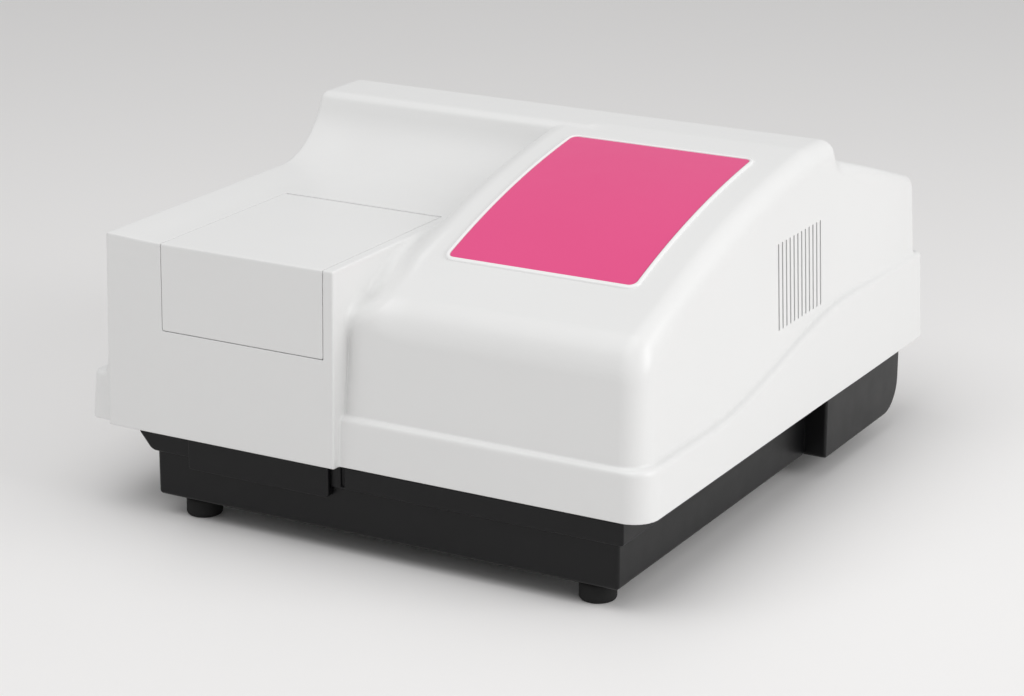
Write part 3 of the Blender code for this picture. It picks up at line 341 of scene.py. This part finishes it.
class Outline:
    """Signed distance to a closed (u, v) outline, kept on a fine grid."""

    STEP = 0.75

    def __init__(self, points, low, high):
        points = np.array(points)
        self.low = np.array(low, float)
        us = np.arange(low[0], high[0] + self.STEP, self.STEP)
        vs = np.arange(low[1], high[1] + self.STEP, self.STEP)
        u, v = np.meshgrid(us, vs, indexing="ij")
        nearest = np.full(u.shape, np.inf)
        inside = np.zeros(u.shape, bool)
        for (u0, v0), (u1, v1) in zip(points, np.roll(points, -1, 0)):
            du, dv = u1 - u0, v1 - v0
            length = du * du + dv * dv
            if length < 1e-9:
                continue
            along = np.clip(((u - u0) * du + (v - v0) * dv) / length, 0.0, 1.0)
            nearest = np.minimum(nearest, (u - u0 - along * du) ** 2 + (v - v0 - along * dv) ** 2)
            if dv:
                crossing = ((v0 > v) != (v1 > v)) & (u < u0 + (v - v0) * du / dv)
                inside ^= crossing
        self.grid = np.where(inside, -1.0, 1.0) * np.sqrt(nearest)

    def __call__(self, u, v):
        s = np.clip((u - self.low[0]) / self.STEP, 0, self.grid.shape[0] - 1.001)
        t = np.clip((v - self.low[1]) / self.STEP, 0, self.grid.shape[1] - 1.001)
        i, j = s.astype(int), t.astype(int)
        s, t = s - i, t - j
        g = self.grid
        return ((g[i, j] * (1 - s) + g[i + 1, j] * s) * (1 - t)
                + (g[i, j + 1] * (1 - s) + g[i + 1, j + 1] * s) * t)


# ---------------------------------------------------------------- fields

def both(a, b, r):
    """Where both solids are, with the edge between them rounded to radius r."""
    return (np.minimum(np.maximum(a, b), -r)
            + np.hypot(np.maximum(a + r, 0.0), np.maximum(b + r, 0.0)))


def either(a, b, r):
    """Where either solid is, with the corner between them filled to radius r."""
    return -both(-a, -b, r)


def without(a, b, r):
    """The first solid less the second."""
    return both(a, -b, r)


def blend(value, start, end, low, high):
    """low up to start, high from end, and a smooth change between."""
    t = np.clip((value - start) / (end - start), 0.0, 1.0)
    return low + (high - low) * t * t * (3 - 2 * t)


def slab(value, low, high):
    return np.maximum(low - value, value - high)


# ---------------------------------------------------------------- side outlines

FIELD_LOW, FIELD_HIGH = (-300.0, 30.0), (300.0, 310.0)
BELOW = 20.0             # the casing's outlines start here, under its bottom edge
SLOPE = bezier(((-249.0, 199.0), (-155.0, 243.0), (-60.0, 271.0), (60.0, RIDGE_Z)), 60)
REAR = [(266.0, BELOW, 0), (256.5, 219.0, 14), (110.0, 265.0, 10), (102.0, RIDGE_Z, 7)]
SWEEP_Y, SWEEP_R = -20.0, 62.5          # arc from the compartment's deck up to the ridge
SWEEP_TURN = (-22.0, -90.0)
FRONT_FOOT, FRONT_HEAD = (-262.0, 40.0), (-249.0, 199.0)       # the console's front wall


def slope_z(y):
    return np.interp(y, SLOPE[:, 0], SLOPE[:, 1])


def console_section():
    """Slope, ridge, rear deck and back wall; the front wall is cut separately."""
    run_out = SLOPE[0] - (SLOPE[1] - SLOPE[0]) * 80
    slope = [(y, z, 0) for y, z in SLOPE[:0:-1]] + [(*SLOPE[0], 0), (*run_out, 0)]
    corners = [(run_out[0], BELOW, 0)] + REAR + slope
    return Outline(rounded(corners), FIELD_LOW, FIELD_HIGH)


def compartment_section():
    """Deck, the sweep up to the ridge, rear deck and back wall."""
    turns = np.radians(np.linspace(*SWEEP_TURN, 40))
    sweep = [(SWEEP_Y + SWEEP_R * math.cos(a), DECK_Z + SWEEP_R + SWEEP_R * math.sin(a), 0)
             for a in turns]
    front = [(-267.4, DECK_Z, 1.5), (-271.7, BELOW, 0)]
    corners = REAR + [(43.5, RIDGE_Z, 9)] + sweep + front
    return Outline(rounded(corners), FIELD_LOW, FIELD_HIGH)


def valley_section():
    """Floor of the valley between the compartment's side and the console."""
    floor = [(-400.0, BELOW, 0), (60.0, BELOW, 0), (60.0, 225.0, 0), (-150.0, 225.0, 30),
             (-182.0, 217.0, 20), (-203.0, 203.0, 20), (-219.0, 190.0, 22), (-400.0, 190.0, 0)]
    return Outline(rounded(floor), FIELD_LOW, FIELD_HIGH)


def block_section():
    """The base's rear block from the side, open above."""
    front, rear = BLOCK_Y
    above = 100.0
    corners = [(front, above, 0), (front, FOOT_Z, 4), (rear, FOOT_Z, 28), (rear, above, 0)]
    return Outline(rounded(corners), (50.0, 0.0), (280.0, 115.0))


def lean(foot, head):
    """Unit direction up a wall in the (y, z) plane."""
    rise = np.array(head) - np.array(foot)
    return rise / np.hypot(*rise)


CONSOLE, COMPARTMENT, VALLEY = console_section(), compartment_section(), valley_section()
BLOCK = block_section()
FRONT_LEAN = lean(FRONT_FOOT, FRONT_HEAD)

# the compartment's left wall flares out towards its foot
LEFT_Z = (20.0, 100.0, 113.0, 122.0, 131.0, 140.0, 149.5, 160.0, 170.0, 180.0, 200.0, 230.0,
          290.0)
LEFT_X = (-238.2, -236.8, -236.2, -235.0, -233.1, -231.4, -229.6, -227.2, -225.4, -223.6,
          -220.0, -218.0, -216.0)


def side_profile():
    """The left wall's x by height, smoothed so that it has no kinks."""
    z = np.arange(BELOW, 300.0, 1.0)
    x = np.interp(z, LEFT_Z, LEFT_X)
    window = np.hanning(17)
    padded = np.pad(x, len(window) // 2, mode="edge")
    return z, np.convolve(padded, window / window.sum(), "valid")


LEFT_WALL = side_profile()


# ---------------------------------------------------------------- the casing and lid as fields

def crease_z(y):
    """The skirt's crease climbs in an S from front to rear."""
    return blend(y, -150.0, 120.0, *CREASE_Z)


def console_field(x, y, z):
    """Console with its left shoulder, the valley beside it, its right wall and front wall."""
    left, right = CONSOLE_X
    body = both(CONSOLE(y, z), left - x, SHOULDER_R)
    # the valley's floor sinks away inside the compartment and ends inside the console
    valley = np.maximum(VALLEY(y, z) + np.clip(-14.0 - x, 0.0, 40.0), x - 4.0)
    body = either(body, valley, VALLEY_R)
    bow = blend(y, -230.0, -20.0, 0.0, 1.5) + blend(y, 60.0, 220.0, 0.0, 4.5)
    right_wall = x - (right + bow - 0.043 * (z - 111.0))
    edge = blend(y, 90.0, 180.0, blend(z, 190.0, 225.0, 22.0, 16.0), 6.0)
    body = both(body, right_wall, edge)
    # the front wall turns in beside the compartment, on the shoulder's radius
    inward = np.clip(2.0 - x, 0.0, 20.0)
    turn = SHOULDER_R - np.sqrt(SHOULDER_R ** 2 - inward * inward)
    recess = turn * blend(z, 100.0, 185.0, 0.5, 1.0)
    along_y, along_z = y - recess - FRONT_FOOT[0], z - FRONT_FOOT[1]
    front_wall = -along_y * FRONT_LEAN[1] + along_z * FRONT_LEAN[0]
    body = both(body, front_wall, blend(x, -5.0, 35.0, 13.0, 20.0))
    return np.maximum(body, -70.0 - x)


def compartment_field(x, y, z):
    """Sample compartment and what lies behind it, with the flare low on its left wall."""
    left_wall = COMPARTMENT_X[0] - 0.012 * (DECK_Z - z) - x
    lift = blend(x, -226.0, -172.0, 2.0, 0.0) * blend(z, 235.0, 280.0, 1.0, 0.0)
    edge = np.interp(y, (30, 50, 110, 240), (2.0, 6.0, 6.0, 5.0))
    box = both(COMPARTMENT(y, z - lift), left_wall, edge)
    behind_front = np.maximum(COMPARTMENT(y, z), -262.5 - y)
    flare = both(behind_front, np.interp(z, *LEFT_WALL) - x, blend(y, -60.0, 0.0, 8.0, 4.0))
    return np.minimum(box, np.maximum(flare, z - 186.0))


def skirt_field(x, y, z):
    """Wider band round the foot of the casing, up to the crease."""
    up = z - SKIRT_Z
    half_x = np.where(x < 0, -SKIRT_X[0] - SKIRT_LEAN[0] * up,
                      SKIRT_X[1] + blend(y, 0.0, 200.0, 0.0, 1.0) - SKIRT_LEAN[1] * up)
    half_y = SKIRT_HALF_Y - 0.05 * up
    r = blend(y, -60.0, 60.0, blend(x, -100.0, 100.0, 9.0, 21.0), 4.0)
    u, v = np.abs(x) - (half_x - r), np.abs(y - SKIRT_MIDDLE_Y) - (half_y - r)
    plan = (np.hypot(np.maximum(u, 0.0), np.maximum(v, 0.0))
            + np.minimum(np.maximum(u, v), 0.0) - r)
    return both(plan, z - crease_z(y), 4.0)


def outer_field(x, y, z):
    """The casing's outside as one solid."""
    console, box = console_field(x, y, z), compartment_field(x, y, z)
    low = both(box, x - COMPARTMENT_X[1], 1.5)
    fillet = blend(z, 166.0, 196.0, 2.0, 15.0) * blend(z, 205.0, 226.0, 1.0, 0.6)
    joined = either(console, low, blend(y, 12.0, 36.0, 1.0, 0.0) * fillet)
    # the ridge and rear deck run on from one to the other
    behind = both(box, x - 40.0, 0.1) + np.maximum(0.0, 30.0 - y)
    joined = np.minimum(joined, behind)
    return either(joined, skirt_field(x, y, z), 2.0)


def barrel_field(y, z):
    return np.hypot(y - HINGE_Y, z - HINGE_Z) - BARREL_R


def lid_region(x, y, z, clear):
    """Space of the lid, or of its opening when clear is the seam's width."""
    foot = LID_FOOT_Z + LID_GAP / 2 - clear
    block = np.maximum(foot - z, y - HINGE_Y)
    barrel = barrel_field(y, z) - 0.75 * clear
    if clear:
        # room for the open lid to lean back past the barrel
        swing = np.maximum(y - HINGE_Y - BARREL_R - 0.8 * clear, HINGE_Z - z)
        barrel = np.minimum(barrel, swing)
    middle, half = sum(LID_X) / 2, (LID_X[1] - LID_X[0]) / 2 - LID_GAP / 2 + clear
    return both(np.minimum(block, barrel), np.abs(x - middle) - half, 0.9)


def pin_bores(x, y, z):
    """Blind bores for the two hinge pins."""
    left = slab(x, -180.0, LID_X[0] + BORE_DEPTH)
    right = slab(x, LID_X[1] - BORE_DEPTH, -15.0)
    radial = np.hypot(y - HINGE_Y, z - HINGE_Z) - PIN_BORE_R
    return np.maximum(radial, np.minimum(left, right))


def casing_field(x, y, z):
    """The casing's shell with its openings and hinge bosses."""
    outer = outer_field(x, y, z)
    deck = blend(y, 80.0, 100.0, 0.0, 1.0) * blend(z, 195.0, 210.0, 0.0, 1.0)
    thick = np.maximum(blend(x, -20.0, 5.0, 0.0, 1.0), deck)
    wall = WALL + (THICK_WALL - WALL) * thick * blend(y, 225.0, 245.0, 1.0, 0.0)
    shell = np.maximum(outer, -(outer + wall))
    shell = both(shell, SKIRT_Z - z, 0.8)
    bosses = np.minimum(slab(x, *LEFT_BOSS_X), slab(x, *RIGHT_BOSS_X))
    bosses = both(bosses, np.maximum(slab(y, *BOSS_Y), slab(z, *BOSS_Z)), 1.0)
    shell = np.minimum(shell, bosses)
    shell = np.maximum(shell, -pin_bores(x, y, z))
    shell = without(shell, lid_region(x, y, z, LID_GAP), 0.4)
    rear = np.maximum(slab(x, *REAR_OPENING_X), slab(z, *REAR_OPENING_Z))
    return without(shell, np.maximum(rear, REAR_OPENING_Y - y), 0.3)


def lid_field(x, y, z):
    """The lid's shell, its rolled rear edge round the hinge axis and its pin bores."""
    outer = outer_field(x, y, z)
    shell = np.maximum(outer, -(outer + WALL))
    shell = np.minimum(shell, np.maximum(barrel_field(y, z), outer))
    shell = both(shell, lid_region(x, y, z, 0.0), 0.4)
    return np.maximum(shell, -pin_bores(x, y, z))


# ---------------------------------------------------------------- the base as fields

def rim_field(x, y, z):
    """Flared rim along the tray's front and sides, notched at the front."""
    slant = (-(x + 191.0) * 13.0 - (z - RIM_Z[0]) * 11.0) / 17.03
    rim = both(both(RIM_X[0] - x, slant, 2.0), RIM_Z[0] - z, 3.0)
    rim = both(rim, x - RIM_X[1], 2.0)
    rim = both(rim, slab(y, *RIM_Y), 1.5)
    rim = np.maximum(rim, z - RIM_Z[1])
    sides = np.abs(x - NOTCH_X) - 2.0 + (y - RIM_Y[0]) * 0.5
    notch = np.maximum(sides, NOTCH_Z - z)
    return without(rim, np.maximum(notch, y - PLATE_STEP_Y[1]), 0.5)


def base_field(x, y, z):
    """Tray with its rim, and the deeper block across the rear; open on top."""
    tray = both(slab(x, *TRAY_X), slab(y, *TRAY_Y), 3.0)
    tray = both(tray, slab(z, FOOT_Z, TRAY_TOP), 3.5)
    block = np.maximum(BLOCK(y, z), z - BLOCK_TOP)
    block = both(block, slab(x, *BLOCK_X), 2.0)
    outer = np.minimum(either(tray, rim_field(x, y, z), 0.8), block)
    flange = both(slab(x, *FLANGE_X), slab(y, *FLANGE_Y), 20.0)
    outer = np.minimum(outer, both(flange, slab(z, *FLANGE_Z), 0.8))
    inside_x = slab(x, TRAY_X[0] + WALL, TRAY_X[1] - WALL)
    # the tray's hollow runs on into the block's
    hollow = both(inside_x, slab(y, TRAY_Y[0] + WALL, TRAY_Y[1] + WALL), 2.0)
    hollow = both(hollow, FOOT_Z + WALL - z, 2.0)
    inside_x = slab(x, BLOCK_X[0] + WALL, BLOCK_X[1] - WALL)
    rear = both(BLOCK(y, z) + WALL, inside_x, 2.0)
    return without(outer, np.minimum(hollow, rear), 0.5)


def plate_field(x, y, z):
    """Front plate of the base, stepped behind to lie over the rim."""
    face = both(slab(x, *PLATE_X), slab(z, *PLATE_Z), 3.0)
    foot = np.maximum(y - PLATE_STEP_Y[1], z - PLATE_STEP_Z)
    step = np.minimum(y - PLATE_STEP_Y[0], foot)
    return both(face, np.maximum(PLATE_Y - y, step), 0.7)


# ---------------------------------------------------------------- meshes from fields

NEWTON_STEPS, NEWTON_REACH, NEWTON_LIMIT = 3, 0.15, 0.7


def graded(start, *spans):
    """Grid lines from start through each (end, step)."""
    lines = [start]
    for end, step in spans:
        count = max(1, round((end - lines[-1]) / step))
        lines += list(np.linspace(lines[-1], end, count + 1)[1:])
    return np.array(lines)


def gradient(field, points, reach):
    """The field's value and slope at each point, from four samples round it."""
    corners = np.array(((1, -1, -1), (-1, -1, 1), (-1, 1, -1), (1, 1, 1)), float)
    slope = np.zeros_like(points)
    middle = np.zeros(len(points))
    for corner in corners:
        value = field(*(points + corner * reach).T)
        slope += value[:, None] * corner
        middle += value / 4
    return middle, slope / (4 * reach)


def split_pinches(mesh):
    """Give each fan its own vertex where two fans of faces meet at one."""
    bm = bmesh.new()
    bm.from_mesh(mesh)
    for vert in [v for v in bm.verts if not v.is_manifold]:
        fan, waiting = set(), [vert.link_faces[0]]
        while waiting:
            face = waiting.pop()
            if face in fan:
                continue
            fan.add(face)
            for edge in face.edges:
                if vert in edge.verts:
                    waiting += edge.link_faces
        twin = bm.verts.new(vert.co)
        for face in fan:
            corners = [twin if corner is vert else corner for corner in face.verts]
            bm.faces.remove(face)
            bm.faces.new(corners)
    bm.to_mesh(mesh)
    bm.free()


def sampled(field, xs, ys, zs, layers=16):
    """The field on the whole grid, a few layers at a time."""
    value = np.empty((len(xs), len(ys), len(zs)), np.float32)
    for i in range(0, len(xs), layers):
        part = np.meshgrid(xs[i:i + layers], ys, zs, indexing="ij")
        value[i:i + layers] = field(*part)
    return value


def crossings(value, lines):
    """For each grid edge that the surface cuts: its four cells in order, and the place."""
    inside = value < 0
    shape = np.array(value.shape)
    cells, places = [], []
    for axis in range(3):
        low, high = [slice(None)] * 3, [slice(None)] * 3
        low[axis], high[axis] = slice(0, -1), slice(1, None)
        low, high = tuple(low), tuple(high)
        at = np.argwhere(inside[low] != inside[high])
        first, second = value[low][tuple(at.T)], value[high][tuple(at.T)]
        place = np.stack([lines[d][at[:, d]] for d in range(3)], 1)
        step = lines[axis][at[:, axis] + 1] - lines[axis][at[:, axis]]
        place[:, axis] += step * first / (first - second)
        u, v = (axis + 1) % 3, (axis + 2) % 3
        ring = []
        for du, dv in ((-1, -1), (0, -1), (0, 0), (-1, 0)):
            cell = at.copy()
            cell[:, u] += du
            cell[:, v] += dv
            ring.append(np.ravel_multi_index(tuple(cell.T), tuple(shape - 1)))
        ring = np.stack(ring, 1)
        flip = first > 0
        ring[flip] = ring[flip][:, ::-1]
        cells.append(ring)
        places.append(np.repeat(place[:, None], 4, 1))
    return np.concatenate(cells), np.concatenate(places).reshape(-1, 3)


def field_mesh(name, field, xs, ys, zs):
    """A smooth quad mesh where the field crosses zero on the grid."""
    cells, places = crossings(sampled(field, xs, ys, zs), (xs, ys, zs))
    index = np.unique(cells, return_inverse=True)[1].reshape(-1)
    weight = np.bincount(index)
    points = np.stack([np.bincount(index, places[:, d]) / weight for d in range(3)], 1)
    for _ in range(NEWTON_STEPS):
        level, slope = gradient(field, points, NEWTON_REACH)
        size = np.maximum(np.linalg.norm(slope, axis=1), 0.2)
        move = np.clip(level / size, -NEWTON_LIMIT, NEWTON_LIMIT)
        points -= slope / size[:, None] * move[:, None]
    quads = index.reshape(-1, 4)
    mesh = bpy.data.meshes.new(name)
    mesh.vertices.add(len(points))
    mesh.vertices.foreach_set("co", (points * MM).astype(np.float32).ravel())
    mesh.loops.add(quads.size)
    mesh.loops.foreach_set("vertex_index", quads.astype(np.int32).ravel())
    mesh.polygons.add(len(quads))
    mesh.polygons.foreach_set("loop_start", np.arange(0, quads.size, 4, dtype=np.int32))
    mesh.update(calc_edges=True)
    mesh.validate()
    split_pinches(mesh)
    return mesh


def add_piece(name, mesh, mat, body="body"):
    """Link a finished mesh, shaded smooth, as a piece that rides on a body."""
    obj = bpy.data.objects.new(name, mesh)
    bpy.context.scene.collection.objects.link(obj)
    mesh.materials.append(mat)
    mesh.shade_smooth()
    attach(obj, body)
    return obj


def cut_through(obj, loops, low, high):
    """Cut prisms on loops of (y, z) points through a mesh, from low to high in x."""
    tool = prisms(f"{obj.name}_cutter", loops, low, high)
    modifier = obj.modifiers.new("cut", "BOOLEAN")
    modifier.operation = "DIFFERENCE"
    modifier.solver = "EXACT"
    modifier.object = tool
    bpy.context.view_layer.update()
    graph = bpy.context.evaluated_depsgraph_get()
    mesh = bpy.data.meshes.new_from_object(obj.evaluated_get(graph))
    obj.modifiers.clear()
    obj.data = mesh
    bpy.data.objects.remove(tool, do_unlink=True)


def prisms(name, loops, low, high):
    """Closed prisms on loops of (y, z) points, extruded along x."""
    bm = bmesh.new()
    for loop in loops:
        rings = [[bm.verts.new((x * MM, y * MM, z * MM)) for y, z in loop]
                 for x in (low, high)]
        bm.faces.new(rings[0])
        bm.faces.new(rings[1][::-1])
        count = len(loop)
        for k in range(count):
            bm.faces.new((rings[0][k], rings[1][k], rings[1][(k + 1) % count],
                          rings[0][(k + 1) % count]))
    bmesh.ops.recalc_face_normals(bm, faces=bm.faces)
    mesh = bpy.data.meshes.new(name)
    bm.to_mesh(mesh)
    bm.free()
    obj = bpy.data.objects.new(name, mesh)
    bpy.context.scene.collection.objects.link(obj)
    return obj


def slot_loop(centre, width, height, steps=6):
    """A slot with round ends, long in z."""
    y, z = centre
    r = width / 2
    top = [(y + r * math.cos(a), z + height / 2 - r + r * math.sin(a))
           for a in np.linspace(0, math.pi, steps + 1)]
    bottom = [(y + r * math.cos(a), z - height / 2 + r + r * math.sin(a))
              for a in np.linspace(math.pi, 2 * math.pi, steps + 1)]
    return top + bottom


# ---------------------------------------------------------------- casing

def casing():
    # fine grid steps lie where the shape has edges, seams and thin walls
    xs = graded(-254, (-204, 1.8), (-174, 6), (-169, 0.5), (-26, 6), (-11, 0.6), (36, 1.8),
                (205, 6), (252, 1.8))
    ys = graded(-276, (-262, 0.7), (-235, 1.5), (-97, 3), (-88, 0.35), (0, 4),
                (50, 1.5), (95, 3), (122, 1.5), (235, 3.5), (277, 1.5))
    zs = graded(71, (76, 0.6), (100, 4), (156, 1.5), (163, 0.5), (222, 1.5),
                (232, 0.3), (287, 1.5))
    mesh = field_mesh("casing", casing_field, xs, ys, zs)
    obj = add_piece("casing_shell", mesh, CASING)
    middle, height = sum(VENT_Z) / 2, VENT_Z[1] - VENT_Z[0]
    slots = [slot_loop((VENT_Y + VENT_PITCH * k, middle), VENT_WIDTH, height)
             for k in range(VENT_COUNT)]
    cut_through(obj, slots, *VENT_CUT_X)
    obj.data.set_sharp_from_angle(angle=math.radians(40))
    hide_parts("top_casing")


def lid():
    xs = graded(-174, (-169, 0.5), (-26, 8), (-21, 0.5))
    ys = graded(-276, (-262, 0.6), (-100, 8), (-88, 0.4))
    zs = graded(158, (163, 0.5), (219, 6), (233, 0.4))
    mesh = field_mesh("lid_cover", lid_field, xs, ys, zs)
    obj = add_piece("lid_cover", mesh, CASING, "lid")
    obj.data.set_sharp_from_angle(angle=math.radians(40))
    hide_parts("lid")


# ---------------------------------------------------------------- base

def base():
    xs = graded(-250, (-242, 2), (-208, 6), (-183, 0.7), (-17, 8), (-6, 0.8), (218, 8),
                (249, 0.8))
    ys = graded(-264, (-254, 0.6), (70, 8), (84, 0.8), (200, 6), (237, 1.2), (264, 3))
    zs = graded(16, (24, 0.7), (50, 1.5), (59, 0.6), (70, 2), (80, 0.7))
    mesh = field_mesh("base_tray", base_field, xs, ys, zs)
    obj = add_piece("base_moulding", mesh, BLACK)
    obj.data.set_sharp_from_angle(angle=math.radians(40))
    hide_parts("base_tray")


def front_plate():
    xs = graded(-154, (-149, 0.4), (-26, 6), (-21, 0.4))
    ys = graded(-267, (-259, 0.25))
    zs = graded(46, (51, 0.4), (56, 0.5), (69, 2), (74, 0.4))
    mesh = field_mesh("base_front_plate", plate_field, xs, ys, zs)
    obj = add_piece("front_plate", mesh, BLACK)
    obj.data.set_sharp_from_angle(angle=math.radians(50))
    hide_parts("base_front_plate")


def turned(name, profile, steps=48):
    """A closed ring of (radius, height) points turned about the z axis."""
    rows = []
    for k in range(steps):
        a = 2 * math.pi * k / steps
        rows.append([(r * math.cos(a), r * math.sin(a), z) for r, z in profile])
    return grid_mesh(name, rows, True)


def feet():
    """Rubber feet, each with a fixing hole up its middle."""
    top = FOOT_Z - 0.3
    profile = [(FOOT_R - 1.5, top), (FOOT_R - 1.3, top - 2.5), (FOOT_R - 0.6, top - 3.2),
               (FOOT_R, top - 4.5), (FOOT_R, 2.5), (FOOT_R - 0.3, 1.3), (FOOT_R - 1.0, 0.4),
               (FOOT_R - 2.0, 0.0), (FOOT_R - 4.0, 0.0), (FOOT_R - 4.5, 0.5), (5.8, 0.5),
               (5.0, 1.3), (5.0, 6.0), (3.0, 6.0), (3.0, top)]
    for end, y in zip(("front", "rear"), FOOT_Y):
        for side, x in zip(("left", "right"), FOOT_X):
            place = f"{end}_{side}"
            mesh = turned(f"foot_{place}", profile)
            obj = add_piece(f"rubber_foot_{place}", mesh, RUBBER)
            obj.location = (x * MM, y * MM, 0.0)
            obj.data.set_sharp_from_angle(angle=math.radians(35))
            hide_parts(f"foot_{place}")


# ---------------------------------------------------------------- operating panel

def round_rectangle(centre, width, height, radius, steps=8):
    u, v = centre
    w, h = width / 2, height / 2
    return rounded([(u - w, v - h, radius), (u + w, v - h, radius), (u + w, v + h, radius),
                    (u - w, v + h, radius)], steps)


def subdivided(loop, step):
    """The loop with its long sides split into steps."""
    points = []
    for (u0, v0), (u1, v1) in zip(loop, loop[1:] + loop[:1]):
        count = max(1, int(math.hypot(u1 - u0, v1 - v0) / step))
        points += [(u0 + (u1 - u0) * k / count, v0 + (v1 - v0) * k / count)
                   for k in range(count)]
    return points


def grid_mesh(name, rows, closed, caps=()):
    """Quads between rows of (x, y, z) points; each row is a ring, and closed joins the ends."""
    count_u, count_v = len(rows), len(rows[0])
    points = [tuple(c * MM for c in p) for row in rows for p in row]
    faces = []
    for i in range(count_u if closed else count_u - 1):
        for j in range(count_v):
            a, b = i * count_v + j, i * count_v + (j + 1) % count_v
            i2 = (i + 1) % count_u
            faces.append((a, b, i2 * count_v + (j + 1) % count_v, i2 * count_v + j))
    faces += list(caps)
    mesh = bpy.data.meshes.new(name)
    mesh.from_pydata(points, [], faces)
    bm = bmesh.new()
    bm.from_mesh(mesh)
    bmesh.ops.recalc_face_normals(bm, faces=bm.faces)
    bm.to_mesh(mesh)
    bm.free()
    return mesh


def panel_bezel():
    """Raised border round the film, swept along a rounded rectangle on the slope."""
    width, length = PANEL_SIZE
    section = [(0.4, -0.6), (0.4, 0.9), (0.7, 1.35), (1.3, 1.6), (2.6, 1.6), (3.3, 1.35),
               (3.8, 0.7), (4.0, -0.6)]         # (outwards, above the slope)
    rows = []
    inner = subdivided(round_rectangle(PANEL_CENTRE, width, length, PANEL_R), 4.0)
    for k, (x, y) in enumerate(inner):
        before, after = Vector(inner[k - 1]), Vector(inner[(k + 1) % len(inner)])
        along = (after - before).normalized()
        out = Vector((along.y, -along.x))
        rows.append([(x + out.x * s, y + out.y * s, slope_z(y + out.y * s) + h)
                     for s, h in section])
    mesh = grid_mesh("panel_bezel", rows, True)
    obj = add_piece("bezel_frame", mesh, BEZEL)
    obj.data.set_sharp_from_angle(angle=math.radians(50))
    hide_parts("panel_bezel")


def panel_film():
    """Printed film on the slope, inside the border."""
    width, length = PANEL_SIZE
    radius = PANEL_R
    ends = [radius * (1 - math.cos(a)) for a in np.linspace(0, math.pi / 2, 8)]
    rows_v = ends + list(np.linspace(radius, length - radius, 60))[1:-1]
    rows_v += [length - e for e in reversed(ends)]
    rows = []
    for v in rows_v:
        depth = min(v, length - v, radius)
        half = width / 2 - radius + math.sqrt(max(radius ** 2 - (radius - depth) ** 2, 0.0))
        y = PANEL_CENTRE[1] - length / 2 + v
        across = np.linspace(-half, half, 12)
        top = [(PANEL_CENTRE[0] + u, y, slope_z(y) + FILM_TOP) for u in across]
        base = [(PANEL_CENTRE[0] + u, y, slope_z(y) + FILM_BOTTOM) for u in across[::-1]]
        rows.append(top + base)
    count = len(rows[0])
    caps = [tuple(range(count)), tuple(range((len(rows) - 1) * count, len(rows) * count))]
    mesh = grid_mesh("panel_film", rows, False, caps)
    obj = add_piece("panel_film", mesh, PINK)
    obj.data.set_sharp_from_angle(angle=math.radians(50))
    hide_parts("panel_overlay")


# ---------------------------------------------------------------- make everything

def repaint(names, mat):
    for name in names:
        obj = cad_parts[name]
        obj.data.materials.clear()
        obj.data.materials.append(mat)


place_camera()
studio()
casing()
lid()
panel_bezel()
panel_film()
base()
front_plate()
feet()
for mat, names in PAINTED:
    repaint(names, mat)
